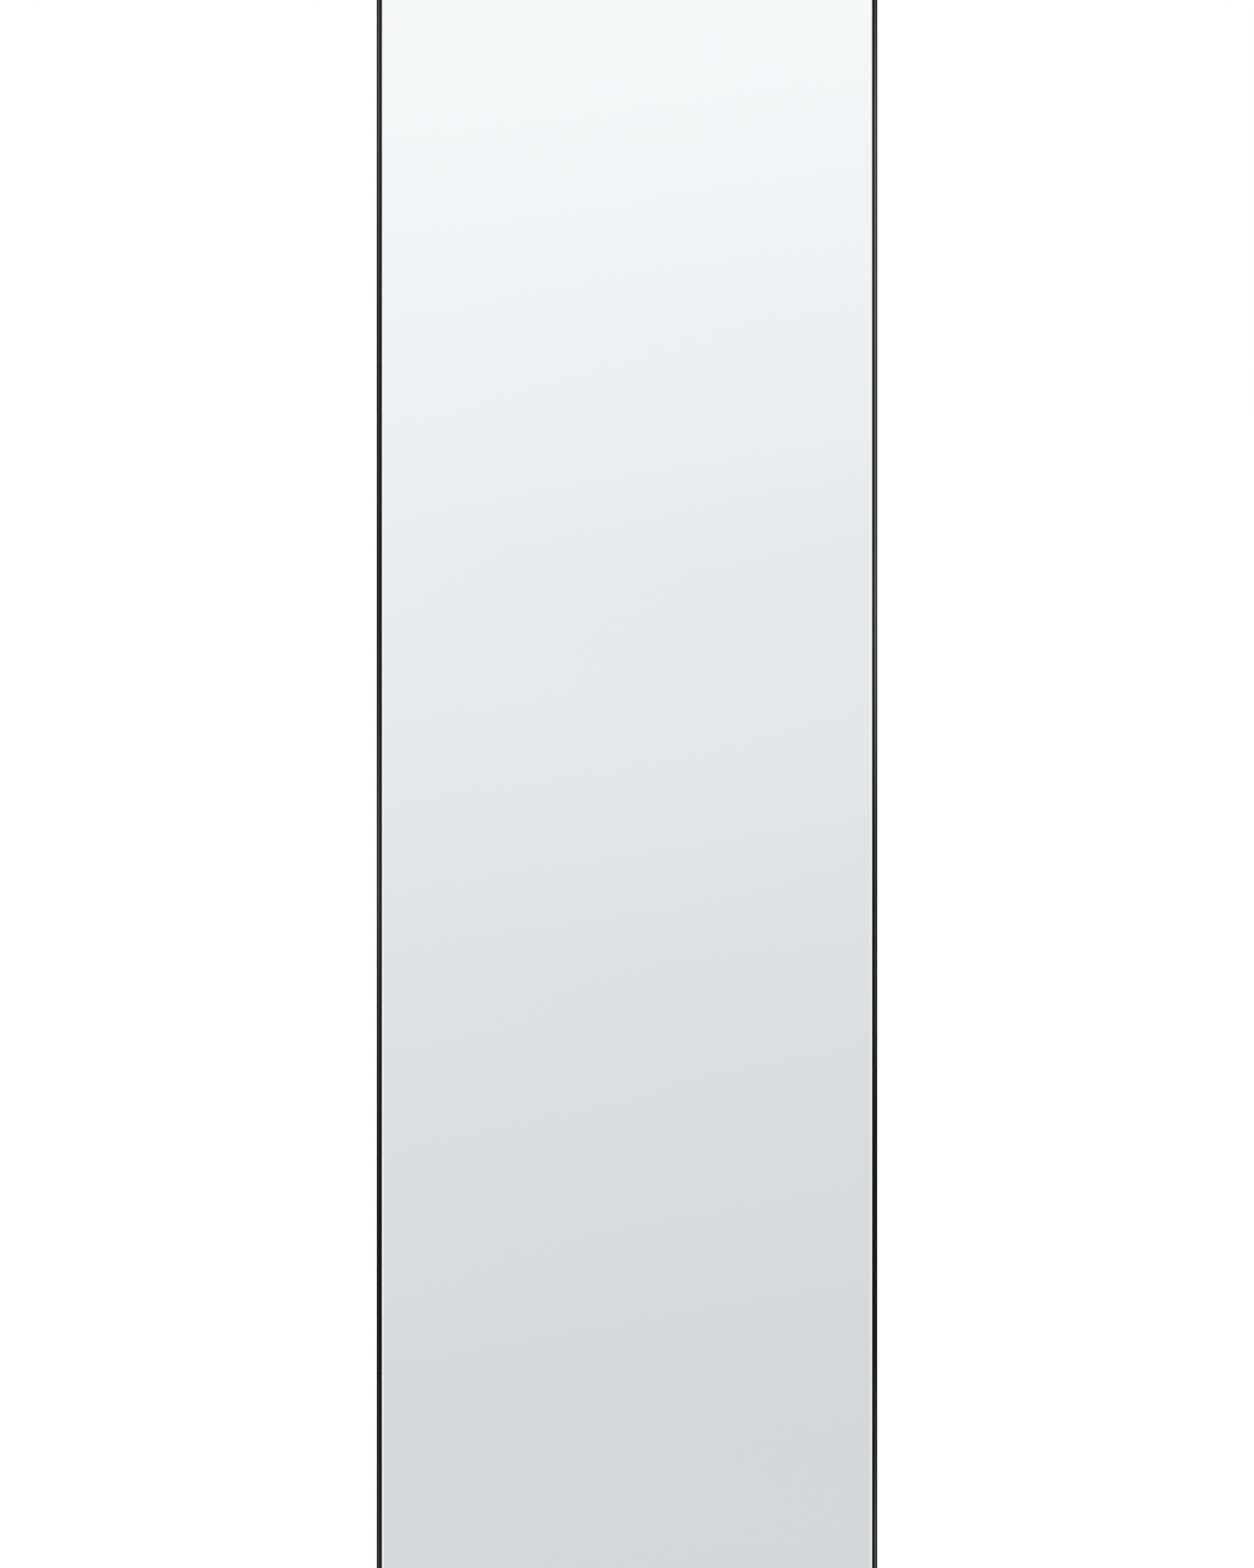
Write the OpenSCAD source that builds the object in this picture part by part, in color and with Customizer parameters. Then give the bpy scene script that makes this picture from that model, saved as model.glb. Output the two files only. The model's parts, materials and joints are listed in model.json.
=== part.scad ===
// Slim-framed floor mirror with a folding rear stand.
// Millimetres, +Z up. The origin is on the floor, at the middle of the footprint.
// The glass faces -Y, and left and right are as seen by someone looking into it.

/* [Overall size] */
// Outer width of the frame
mirror_w = 400; // [360:10:600]
// Outer height of the frame
mirror_h = 1500; // [1300:10:1800]
// How far the mirror leans back from upright, in degrees
lean = 10; // [8:0.5:12]
// How far the stand's legs splay back from upright, in degrees
leg_splay = 8; // [7:0.5:10]
// Height of the stand's pivots above the frame's lower edge
pivot_up = 1000; // [800:10:1100]

/* [Frame rail] */
// Width of the front face that shows around the glass
face_w = 3.5; // [2.6:0.1:5]
// Thickness of the front lip
lip_t = 2; // [1.6:0.1:2.4]
// Thickness of the rail's outer wall
wall = 1.3; // [1:0.1:1.5]
// Thickness of the channel's floor and inner wall
web_t = 1.3; // [1:0.1:2]
// Width inside the rear channel
channel_w = 12.4; // [11:0.1:14]
// Depth inside the rear channel
channel_d = 6.2; // [5.8:0.1:8]
// Width of the slot that opens the channel to the rear
slot_w = 6.4; // [5.6:0.1:7]
// Thickness of the two lips beside the slot
rear_lip_t = 1.3; // [1:0.1:2]
// Radius of the rail's front outer edge
edge_r = 0.7; // [0.3:0.1:0.9]
// Height of the front face's shallow crown
face_crown = 0.4; // [0.2:0.05:0.5]

/* [Glass and backing] */
// Thickness of the mirror glass
glass_t = 4; // [3:0.5:6]
// Bevel that stays in view inside the lip
bevel_show = 2; // [1:0.1:4]
// Slope of the bevel, in degrees
bevel_slope = 14; // [8:1:18]
// Thickness of the shatter film on the glass
film_t = 0.3; // [0.2:0.05:0.5]
// Thickness of the foam sheet
foam_t = 2; // [1:0.5:4]
// Thickness of the backing board
board_t = 3; // [2:0.5:5]
// Gap that the tension springs fill
spring_gap = 2.4; // [2:0.1:4]
// Thickness of a spring's steel
spring_t = 0.5; // [0.4:0.05:0.8]
// Length of a spring
spring_len = 52; // [40:1:70]
// Width of a spring
spring_w = 9; // [6:0.5:10]
// How far a spring shows past the rail's inner wall
spring_show = 3; // [0:0.5:4]
// Springs along each upright rail
springs_tall = 5; // [3:1:7]
// Springs along the top rail and the bottom rail
springs_wide = 2; // [1:1:3]

/* [Corner joints] */
// Length of an angle plate's leg
angle_leg = 38; // [30:1:42]
// Thickness of the threaded angle plate
angle_t = 2.5; // [2:0.1:3]
// Thickness of the plain angle plate under it
backing_t = 1.8; // [1.2:0.1:2]
// Distance of the near set screw from the plate's corner
screw_near = 18; // [16:1:20]
// Distance of the far set screw from the end of the plate's leg
screw_end = 7; // [5:0.5:8]

/* [Stand] */
// Outer diameter of the stand tube
tube_d = 10; // [8:0.5:10]
// Wall of the stand tube
tube_wall = 1; // [0.8:0.1:1.5]
// Bend radius of the tube's centre line
bend_r = 34; // [25:1:45]
// Diameter of the rubber sleeves
sleeve_d = 15; // [13:0.5:15]
// Length of a sleeve
sleeve_len = 46; // [30:1:60]
// Ribs on a sleeve
sleeve_ribs = 9; // [5:1:11]
// Thickness of the stand's eye
eye_t = 6; // [5:0.5:6.5]
// Diameter of the pivot bolt's shank
bolt_d = 6; // [5:0.5:6]
// Height of the pivot above the bracket's plate
pivot_h = 8; // [7.8:0.1:9]
// Thickness of the stand bracket's steel
bracket_t = 2; // [1.5:0.1:2.5]
// Thickness of a nylon washer
washer_t = 0.8; // [0.5:0.1:1]

/* [Wall hangers] */
// Distance of the hangers below the frame's top edge
hanger_down = 120; // [100:5:300]
// Radius of the keyhole's round entry
keyhole_r = 4.5; // [4:0.1:5]
// Width of the keyhole's neck
keyhole_neck = 4.6; // [4:0.1:5]
// Thickness of a hanger plate
hanger_t = 2; // [1.5:0.1:2.5]

/* [Feet and bumpers] */
// Least thickness of a foot pad, at the frame's rear edge
pad_least = 3; // [3:0.5:6]
// Length of a foot pad
pad_len = 60; // [56:1:70]
// Distance from the frame's side to a foot pad's outer end
pad_inset = 48; // [46:1:60]
// Diameter of a wall bumper
bumper_d = 11; // [9:0.5:12]

/* [Hidden] */
$fn = 48;
eps = 0.01;
cut = 1;
big = 3000;

// Running and seating clearances
seat_gap = 0.05;
glass_gap = 0.3;
plate_gap = 0.2;
thread_gap = 0.05;
hole_gap = 0.2;
turn_gap = 0.08;
axial_gap = 0.2;
stop_gap = 0.1;
spigot_gap = 0.05;
rest_gap = 0.3;

// Rail section: u runs inwards from the outer face, v runs back from the front face
rail_w = wall + channel_w + web_t;
glass_u = wall + glass_gap;
glass_v = lip_t - bevel_show * tan(bevel_slope) + seat_gap;
bevel_w = face_w + bevel_show - glass_u;
film_v = glass_v + glass_t;
foam_v = film_v + film_t;
board_v = foam_v + foam_t;
spring_v = board_v + board_t;
floor_v = spring_v + spring_gap;
channel_v = floor_v + web_t;
rail_d = channel_v + channel_d + rear_lip_t;
slot_u = wall + channel_w / 2;
channel_mid_v = channel_v + channel_d / 2;
lip_in_v = rail_d - rear_lip_t;
crown_r = (pow(face_w / 2, 2) + pow(face_crown, 2)) / (2 * face_crown);
face_blend = 0.005;
tip_r = 0.3;
rear_edge_r = 0.4;
spring_u = rail_w + spring_show - spring_w / 2;

// Screws: pan heads on the plates, grub screws in the corners, countersunk under the pads
m4_r = 2;
pan_r = 4;
pan_h = 2.4;
pan_land = 1.2;
screw_len = 8;
recess_w = 1;
recess_len = 4.2;
recess_depth = 1.2;
set_screw_proud = 0.6;
set_screw_len = lip_in_v - channel_v - backing_t + set_screw_proud;
socket_af = 2;
nut_plate_t = 3;
nut_plate_w = channel_w - 2 * plate_gap;
nut_plate_end = 9;

// Stand bracket: its clevis stands inboard of the slot, its tongue is centred on the slot
clevis_in = 5;
clevis_u = slot_u + clevis_in;
ear_gap = eye_t + 2 * washer_t + 2 * axial_gap;
clevis_half = ear_gap / 2 + bracket_t;
ear_r = 7;
ear_foot = 12;
ear_blend = 0.03;
ear_fillet = washer_t;
plate_u0 = 1.5;
plate_low = -14;
plate_top = 64;
plate_step = 15;
plate_slant = 8;
plate_corner_r = 3;
bracket_screw_z = [27, 53];
bolt_head_r = 5;
bolt_head_h = 2.8;
bolt_head_land = 0.5;
bolt_socket_af = 4;
nut_af = 10;
nut_h = 5;
nut_collar = 1.4;
nut_face_in = 0.2;
nut_chamfer = 30;
bolt_tail = 1.5;
washer_r = 6;

// Stand: the leg's own frame has its origin on the pivot and runs down along -Z
tube_r = tube_d / 2;
tube_in_r = tube_r - tube_wall;
leg_x = mirror_w / 2 - clevis_u;
eye_r = 6.5;
eye_neck = 14;
collar_h = 3;
tube_top = 20;
spigot_len = 24;
rivet_r = 1.5;
rivet_down = 12;
rivet_head_r = 2.6;
rivet_head_h = 0.8;
rivet_head_land = 0.1;
rivet_proud = 0.2;
heel_low = 0.5;
heel_top = 9;
heel_back = 3.5;
sleeve_groove = 0.6;
sleeve_off = 2;
rib_share = 0.6;
sleeve_x = leg_x - bend_r - sleeve_off - sleeve_len;

// Where the leaning mirror stands: its floor line, its pivot and the legs' length
pivot_v = rail_d + bracket_t + pivot_h;
lift = rail_d * sin(lean) + pad_least;
pivot_z = pivot_up * cos(lean) - pivot_v * sin(lean) + lift;
pivot_back = pivot_up * sin(lean) + pivot_v * cos(lean);
leg_len = (pivot_z - sleeve_d / 2) / cos(leg_splay);
foot_back = pivot_back + leg_len * sin(leg_splay);
footprint = foot_back + sleeve_d / 2;
shift = -footprint / 2;
pivot_y = pivot_back + shift;

// Hangers
hanger_z = mirror_h - hanger_down;
hanger_half = 20;
hanger_in = 42;
keyhole_u = 30;
keyhole_drop = 5;
keyhole_rise = 13;
hanger_screw_z = [-13, 13];
hanger_corner_r = 5;
hanger_edge_r = 1.5;

// Foot pads
pad_front = 2;
pad_back = rail_d - 1;
pad_screw_in = 14;
pad_recess = 0.8;
csk_r = 3.6;
csk_h = 1.7;
pad_screw_tail = 5;
pad_corner_r = 5;
pad_reach = 20;

// Bumpers: tall enough that the folded stand's sleeves rest on the lower two
bumper_h = pivot_v - rail_d - sleeve_d / 2 - rest_gap;
bumper_land = 1.3;
bumper_stem_r = slot_w / 2 - plate_gap;
bumper_stem = rear_lip_t + 0.7;
bumper_low_x = sleeve_x + sleeve_len / 2;
bumper_top_x = mirror_w / 2 - 50;

// Places and directions

// The upright mirror leans back about its lower edge and stands on its pads
module leaning() {
    translate([0, shift, lift]) rotate([-lean, 0, 0]) children();
}

// The stand in its own frame, at the open stop
module standing() {
    translate([0, pivot_y, pivot_z]) rotate([leg_splay, 0, 0]) children();
}

module flip(axis, on) {
    if (on) mirror(axis) children();
    else children();
}

// From a side: x runs inwards from the frame's outer face
module from_side(right) {
    flip([1, 0, 0], right) translate([-mirror_w / 2, 0, 0]) children();
}

// From a corner: x and z run inwards from the frame's two outer faces
module from_corner(right, top) {
    translate([0, 0, top ? mirror_h : 0]) flip([0, 0, 1], top) from_side(right) children();
}

module both_sides() {
    for (right = [false, true]) from_side(right) children();
}

// A flat shape drawn in x and z, thickened backwards
module thick_y(t) {
    translate([0, t, 0]) rotate([90, 0, 0]) linear_extrude(t) children();
}

// A flat shape drawn in y and z, thickened to both sides in x
module thick_x(t) {
    rotate([90, 0, 90]) linear_extrude(t, center = true) children();
}

module rod_x(r, h, center = true) {
    rotate([0, 90, 0]) cylinder(r = r, h = h, center = center);
}

module rod_y(r, h) {
    rotate([-90, 0, 0]) cylinder(r = r, h = h);
}

// Frame rails

// What a corner of radius r loses
module corner_loss(r) {
    difference() {
        translate([-eps, -eps]) square(r + eps);
        translate([r, r]) circle(r);
    }
}

// What the crown takes off the flat front face
module crown_loss() {
    difference() {
        translate([-eps, -eps]) square([face_w + 2 * eps, face_crown + 2 * eps]);
        translate([face_w / 2, crown_r]) circle(crown_r);
    }
}

// What a radius takes off where the crown runs out into the rail's side
module crown_edge_loss(r) {
    rise = crown_r - sqrt(pow(crown_r - r, 2) - pow(face_w / 2 - r, 2)) - face_blend;
    touch = face_w / 2 - crown_r * (face_w / 2 - r) / (crown_r - r);
    difference() {
        translate([-eps, -eps]) square([touch + eps, rise + eps]);
        translate([r, rise]) circle(r);
    }
}

// Crowned face and front lip, glass rebate, and a rear channel with an open slot
module rail_section() {
    lip_side = (channel_w - slot_w) / 2;
    difference() {
        union() {
            square([wall, rail_d]);
            square([face_w, lip_t]);
            translate([0, floor_v]) square([rail_w, web_t]);
            translate([rail_w - web_t, floor_v]) square([web_t, rail_d - floor_v]);
            translate([0, lip_in_v]) square([wall + lip_side, rear_lip_t]);
            translate([rail_w - web_t - lip_side, lip_in_v]) square([web_t + lip_side, rear_lip_t]);
        }
        crown_loss();
        crown_edge_loss(edge_r);
        translate([face_w, 0]) mirror([1, 0]) crown_edge_loss(tip_r);
        translate([0, rail_d]) mirror([0, 1]) corner_loss(rear_edge_r);
        translate([rail_w, rail_d]) mirror([0, 1]) mirror([1, 0]) corner_loss(rear_edge_r);
        translate([rail_w, floor_v]) mirror([1, 0]) corner_loss(rear_edge_r);
    }
}

// One rail of a given length, cut at 45 degrees at both ends
module rail(length) {
    intersection() {
        linear_extrude(length) rail_section();
        thick_y(rail_d) polygon([
            [0, 0], [0, length], [rail_w, length - rail_w], [rail_w, rail_w]
        ]);
    }
}

module upright_rail(right) {
    color("#1d1f1f") leaning() from_side(right) rail(mirror_h);
}

module top_rail() {
    color("#1d1f1f") leaning()
        translate([-mirror_w / 2, 0, mirror_h]) rotate([0, 90, 0]) rail(mirror_w);
}

// Screw holes of the pads go through the outer wall into the channel
module bottom_rail() {
    color("#1d1f1f") leaning() difference() {
        translate([mirror_w / 2, 0, 0]) rotate([0, -90, 0]) rail(mirror_w);
        at_pad_screws() translate([0, 0, -eps]) cylinder(r = m4_r + thread_gap, h = wall + 2 * eps);
    }
}

// Corner joints: a threaded angle jacked against the slot's lips over a plain one

module angle_outline() {
    start = wall + plate_gap;
    difference() {
        translate([start, start]) square(angle_leg);
        translate([start + nut_plate_w, start + nut_plate_w]) square(angle_leg);
    }
}

module at_set_screws() {
    for (along = [screw_near, angle_leg - screw_end]) {
        translate([slot_u, 0, wall + along]) children();
        translate([wall + along, 0, slot_u]) children();
    }
}

module corner_angle(right, top) {
    color("silver") leaning() from_corner(right, top) difference() {
        translate([0, lip_in_v - angle_t, 0]) thick_y(angle_t) angle_outline();
        at_set_screws() translate([0, channel_v, 0]) rod_y(m4_r + thread_gap, channel_d + eps);
    }
}

module backing_angle(right, top) {
    color("gainsboro") leaning() from_corner(right, top)
        translate([0, channel_v, 0]) thick_y(backing_t) angle_outline();
}

// Grub screw with a hexagon socket
module set_screw() {
    difference() {
        rod_y(m4_r, set_screw_len);
        translate([0, set_screw_len - socket_af, 0]) rotate([-90, 0, 0])
            cylinder(d = socket_af / cos(30), h = socket_af + eps, $fn = 6);
    }
}

module corner_set_screws() {
    color("dimgray") leaning() for (right = [false, true], top = [false, true])
        from_corner(right, top) at_set_screws()
            translate([0, channel_v + backing_t, 0]) set_screw();
}

// Glass, film, foam and board, all to the same outline inside the rails

module pane(v, t) {
    translate([-mirror_w / 2 + glass_u, v, glass_u])
        cube([mirror_w - 2 * glass_u, t, mirror_h - 2 * glass_u]);
}

// What the bevel takes off one edge, drawn in u and v from the glass's own edge
module bevel_wedge(length) {
    translate([0, 0, -cut]) linear_extrude(length + 2 * cut) polygon([
        [bevel_w, 0], [bevel_w, -cut], [-cut, -cut], [-cut, (bevel_w + cut) * tan(bevel_slope)]
    ]);
}

module mirror_glass() {
    tall = mirror_h - 2 * glass_u;
    wide = mirror_w - 2 * glass_u;
    color("#dfe6e8") leaning() difference() {
        pane(glass_v, glass_t);
        both_sides() translate([glass_u, glass_v, glass_u]) bevel_wedge(tall);
        translate([wide / 2, glass_v, glass_u]) rotate([0, -90, 0]) bevel_wedge(wide);
        translate([-wide / 2, glass_v, mirror_h - glass_u]) rotate([0, 90, 0]) bevel_wedge(wide);
    }
}

module safety_film() {
    color("#c9d3d6") leaning() pane(film_v, film_t);
}

module foam_sheet() {
    color("#f2f2ee") leaning() pane(foam_v, foam_t);
}

module backing_board() {
    color("#6b4a30") leaning() pane(board_v, board_t);
}

// A bowed strip: its ends press on the board and its crown on the channel's floor
module spring_strip() {
    rise = spring_gap - spring_t - 2 * seat_gap;
    inner_r = (pow(spring_len / 2, 2) + pow(rise, 2)) / (2 * rise);
    translate([0, spring_v + seat_gap + rise - inner_r, 0]) thick_x(spring_w) intersection() {
        difference() {
            circle(inner_r + spring_t, $fn = 180);
            circle(inner_r, $fn = 180);
        }
        translate([0, -spring_len / 2]) square([inner_r + 2 * spring_t, spring_len]);
    }
}

// Springs are spaced evenly along each rail, half under its channel
module tension_springs() {
    color("lightsteelblue") leaning() {
        both_sides() for (i = [1:springs_tall])
            translate([spring_u, 0, mirror_h * i / (springs_tall + 1)]) spring_strip();
        for (i = [1:springs_wide], z = [spring_u, mirror_h - spring_u])
            translate([mirror_w * (i / (springs_wide + 1) - 0.5), 0, z])
                rotate([0, 90, 0]) spring_strip();
    }
}

// Plates and screws in the rear channel

// A round head: straight for its land, then domed
module domed_head(r, h, land) {
    dome_r = (pow(r, 2) + pow(h - land, 2)) / (2 * (h - land));
    intersection() {
        cylinder(r = r, h = h);
        translate([0, 0, h - dome_r]) sphere(dome_r);
    }
}

// Cross recess, open upwards from its floor
module cross_recess() {
    for (turn = [0, 90]) rotate(turn)
        translate([-recess_len / 2, -recess_w / 2, 0]) cube([recess_len, recess_w, recess_depth + cut]);
}

// Pan head on the plate's rear face, shank through it into the channel
module pan_screw() {
    rotate([-90, 0, 0]) difference() {
        union() {
            translate([0, 0, -screw_len]) cylinder(r = m4_r, h = screw_len + eps);
            domed_head(pan_r, pan_h, pan_land);
        }
        translate([0, 0, pan_h - recess_depth]) cross_recess();
    }
}

// A threaded strip that sits behind the slot's lips
module nut_plate(z_low, z_high, screw_z) {
    difference() {
        translate([slot_u - nut_plate_w / 2, lip_in_v - nut_plate_t, z_low])
            cube([nut_plate_w, nut_plate_t, z_high - z_low]);
        for (z = screw_z) translate([slot_u, channel_v, z]) rod_y(m4_r + thread_gap, channel_d + eps);
    }
}

// Outline of the stand bracket's plate: a wide foot under the clevis, a narrow tongue up the slot
module bracket_outline() {
    tongue = 2 * (slot_u - plate_u0);
    inner = clevis_u + clevis_half;
    difference() {
        union() {
            translate([plate_u0, plate_low]) square([inner - plate_u0, plate_step - plate_low]);
            polygon([
                [plate_u0, plate_step], [inner, plate_step],
                [plate_u0 + tongue, plate_step + plate_slant], [plate_u0, plate_step + plate_slant]
            ]);
            translate([plate_u0, plate_step]) square([tongue, plate_top - plate_step - tongue / 2]);
            translate([slot_u, plate_top - tongue / 2]) circle(tongue / 2);
        }
        translate([plate_u0, plate_low]) corner_loss(plate_corner_r);
    }
}

// Side view of an ear: straight flanks that run nearly tangent into the round end
module ear_outline() {
    flank_r = ear_r - ear_blend;
    reach = sqrt(ear_foot * ear_foot + pivot_h * pivot_h);
    touch = acos(flank_r / reach) - atan(pivot_h / ear_foot);
    tip = [pivot_h + flank_r * sin(touch), flank_r * cos(touch)];
    polygon([[0, -ear_foot], [tip[0], -tip[1]], [tip[0], tip[1]], [0, ear_foot]]);
    translate([pivot_h, 0]) circle(ear_r);
}

// An ear seen from its edge, with a fillet on the given sides of its foot
module ear_edge(fillet_sides) {
    translate([-bracket_t / 2, 0]) square([bracket_t, pivot_h + ear_r]);
    for (side = fillet_sides) flip([1, 0], side < 0) translate([bracket_t / 2, 0]) difference() {
        translate([-eps, 0]) square([ear_fillet + eps, ear_fillet]);
        translate([ear_fillet, ear_fillet]) circle(ear_fillet);
    }
}

module bracket_ear(fillet_sides) {
    intersection() {
        translate([0, 0, -ear_foot]) linear_extrude(2 * ear_foot) ear_edge(fillet_sides);
        thick_x(2 * (bracket_t + ear_fillet)) ear_outline();
    }
}

// Pressed plate: the inboard ear is folded up from its edge, the outboard ear stands inside it
module stand_bracket(right) {
    bend_out_r = bracket_t + ear_fillet;
    color("#26282a") leaning() from_side(right) translate([0, rail_d, pivot_up]) difference() {
        union() {
            thick_y(bracket_t) bracket_outline();
            for (side = [-1, 1])
                translate([clevis_u + side * (ear_gap + bracket_t) / 2, bracket_t, 0])
                    bracket_ear(side < 0 ? [-1, 1] : [-1]);
        }
        translate([clevis_u + clevis_half, 0, plate_low - cut]) linear_extrude(plate_step - plate_low + cut)
            mirror([1, 0]) corner_loss(bend_out_r);
        translate([clevis_u, bracket_t + pivot_h, 0]) rod_x(bolt_d / 2 + turn_gap, big);
        for (z = bracket_screw_z) translate([slot_u, -eps, z]) rod_y(m4_r + hole_gap, bracket_t + 2 * eps);
    }
}

module bracket_nut_plate(right) {
    color("silver") leaning() from_side(right) nut_plate(
        pivot_up + bracket_screw_z[0] - nut_plate_end,
        pivot_up + bracket_screw_z[1] + nut_plate_end,
        [for (z = bracket_screw_z) pivot_up + z]
    );
}

module bracket_screws() {
    color("silver") leaning() both_sides() for (z = bracket_screw_z)
        translate([slot_u, rail_d + bracket_t, pivot_up + z]) pan_screw();
}

// Hanger plate: reaches in over the recess, with a keyhole for a wall screw
module hanger_outline() {
    difference() {
        translate([plate_u0, -hanger_half]) square([hanger_in - plate_u0, 2 * hanger_half]);
        translate([hanger_in, -hanger_half]) mirror([1, 0]) corner_loss(hanger_corner_r);
        translate([hanger_in, hanger_half]) mirror([0, 1]) mirror([1, 0]) corner_loss(hanger_corner_r);
        translate([plate_u0, -hanger_half]) corner_loss(hanger_edge_r);
        translate([plate_u0, hanger_half]) mirror([0, 1]) corner_loss(hanger_edge_r);
        for (z = hanger_screw_z) translate([slot_u, z]) circle(m4_r + hole_gap);
        translate([keyhole_u, -keyhole_drop]) {
            circle(keyhole_r);
            translate([-keyhole_neck / 2, 0]) square([keyhole_neck, keyhole_rise]);
            translate([0, keyhole_rise]) circle(keyhole_neck / 2);
        }
    }
}

module hanger_plate(right) {
    color("silver") leaning() from_side(right)
        translate([0, rail_d, hanger_z]) thick_y(hanger_t) hanger_outline();
}

module hanger_nut_plate(right) {
    color("silver") leaning() from_side(right) nut_plate(
        hanger_z - hanger_half, hanger_z + hanger_half, [for (z = hanger_screw_z) hanger_z + z]
    );
}

module hanger_screws() {
    color("silver") leaning() both_sides() for (z = hanger_screw_z)
        translate([slot_u, rail_d + hanger_t, hanger_z + z]) pan_screw();
}

// Pivots

module at_pivot(right) {
    leaning() from_side(right) translate([clevis_u, pivot_v, pivot_up]) children();
}

// Shank through both ears, button head outboard, thread end inboard
module pivot_bolt(right) {
    color("dimgray") at_pivot(right) translate([-clevis_half, 0, 0]) difference() {
        union() {
            rod_x(bolt_d / 2, 2 * clevis_half + nut_h + bolt_tail, false);
            rotate([0, -90, 0]) domed_head(bolt_head_r, bolt_head_h, bolt_head_land);
        }
        translate([-bolt_head_h - cut, 0, 0]) rotate([0, 90, 0])
            cylinder(d = bolt_socket_af / cos(30), h = cut + bolt_socket_af / 2, $fn = 6);
    }
}

// Hexagon with both its faces turned down to a chamfer at the corners
module nut_hexagon(h) {
    corner_r = nut_af / 2 / cos(30);
    face_r = nut_af / 2 - nut_face_in;
    slope = (corner_r - face_r) * tan(nut_chamfer);
    intersection() {
        cylinder(r = corner_r, h = h, $fn = 6);
        rotate_extrude() polygon([
            [0, 0], [face_r, 0], [corner_r, slope], [corner_r, h - slope], [face_r, h], [0, h]
        ]);
    }
}

// Lock nut: hexagon with a round collar for its nylon ring
module pivot_nut(right) {
    color("gainsboro") at_pivot(right) translate([clevis_half, 0, 0]) difference() {
        rotate([0, 90, 0]) union() {
            nut_hexagon(nut_h - nut_collar);
            cylinder(d = nut_af - nut_collar, h = nut_h);
        }
        rod_x(bolt_d / 2 + thread_gap, big);
    }
}

module pivot_washers() {
    color("whitesmoke") for (right = [false, true], side = [-1, 1])
        at_pivot(right) translate([side * (ear_gap - washer_t) / 2, 0, 0]) difference() {
            rod_x(washer_r, washer_t);
            rod_x(bolt_d / 2 + hole_gap, big);
        }
}

// Feet and bumpers

// Height of the floor under the rail, in the leaning mirror's own frame
function sole_z(v) = (v * sin(lean) - lift) / cos(lean);

module at_pad_screws() {
    for (right = [false, true], along = [pad_screw_in, pad_len - pad_screw_in])
        from_side(right) translate([pad_inset + along, channel_mid_v, 0]) children();
}

// Lower face of a pad screw's head
head_z = sole_z(channel_mid_v) + pad_recess;

// Rubber wedge whose sole lies flat on the floor while the frame leans
module foot_pad(right) {
    color("#2b2b2b") leaning() difference() {
        from_side(right) translate([pad_inset, 0, 0]) intersection() {
            translate([pad_len / 2, 0, 0]) thick_x(pad_len + 2 * cut)
                polygon([[0, 0], [0, sole_z(0)], [rail_d, sole_z(rail_d)], [rail_d, 0]]);
            translate([0, pad_front, -pad_reach]) linear_extrude(2 * pad_reach) pad_plan();
        }
        at_pad_screws() translate([0, 0, head_z]) rotate_extrude() polygon([
            [0, -pad_reach], [csk_r + hole_gap, -pad_reach], [csk_r + hole_gap, 0],
            [m4_r + hole_gap, csk_h], [m4_r + hole_gap, pad_reach], [0, pad_reach]
        ]);
    }
}

// The pad from above, with rounded corners
module pad_plan() {
    deep = pad_back - pad_front;
    difference() {
        square([pad_len, deep]);
        for (x = [0, 1], y = [0, 1])
            translate([x * pad_len, y * deep]) flip([1, 0], x == 1) flip([0, 1], y == 1)
                corner_loss(pad_corner_r);
    }
}

module foot_pad_screws() {
    top = wall + pad_screw_tail - head_z;
    color("silver") leaning() at_pad_screws() translate([0, 0, head_z]) difference() {
        rotate_extrude() polygon([[0, 0], [csk_r, 0], [m4_r, csk_h], [m4_r, top], [0, top]]);
        translate([0, 0, recess_depth]) mirror([0, 0, 1]) cross_recess();
    }
}

// Snap-in bumpers: the lower two also meet the folded stand's sleeves
module wall_bumper() {
    rotate([-90, 0, 0]) {
        domed_head(bumper_d / 2, bumper_h, bumper_land);
        translate([0, 0, -bumper_stem]) cylinder(r = bumper_stem_r, h = bumper_stem + eps);
    }
}

module wall_bumpers() {
    color("#2b2b2b") leaning() for (side = [-1, 1]) {
        translate([side * bumper_low_x, rail_d, slot_u]) wall_bumper();
        translate([side * bumper_top_x, rail_d, mirror_h - slot_u]) wall_bumper();
    }
}

// Stand

// One leg, its bend and half of the crossbar, at a given radius
module tube_half(r, top) {
    straight = leg_len - bend_r - top;
    translate([leg_x, 0, -leg_len + bend_r]) cylinder(r = r, h = straight);
    translate([leg_x - bend_r, 0, -leg_len + bend_r]) rotate([90, 0, 0])
        rotate_extrude(angle = -90, $fn = 96) translate([bend_r, 0]) circle(r);
    translate([-eps, 0, -leg_len]) rod_x(r, leg_x - bend_r + eps, false);
}

module whole_tube(r, top) {
    tube_half(r, top);
    mirror([1, 0, 0]) tube_half(r, top);
}

// Bent steel tube, open at its two top ends, cross-drilled for the rivets
module stand_tube() {
    color("#26282a") standing() difference() {
        whole_tube(tube_r, tube_top);
        whole_tube(tube_in_r, tube_top - cut);
        for (side = [-1, 1]) translate([side * leg_x, 0, 0]) rivet_hole();
    }
}

module rivet_hole() {
    translate([0, 0, -tube_top - rivet_down]) rod_x(rivet_r, tube_d + 2 * cut);
}

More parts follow.
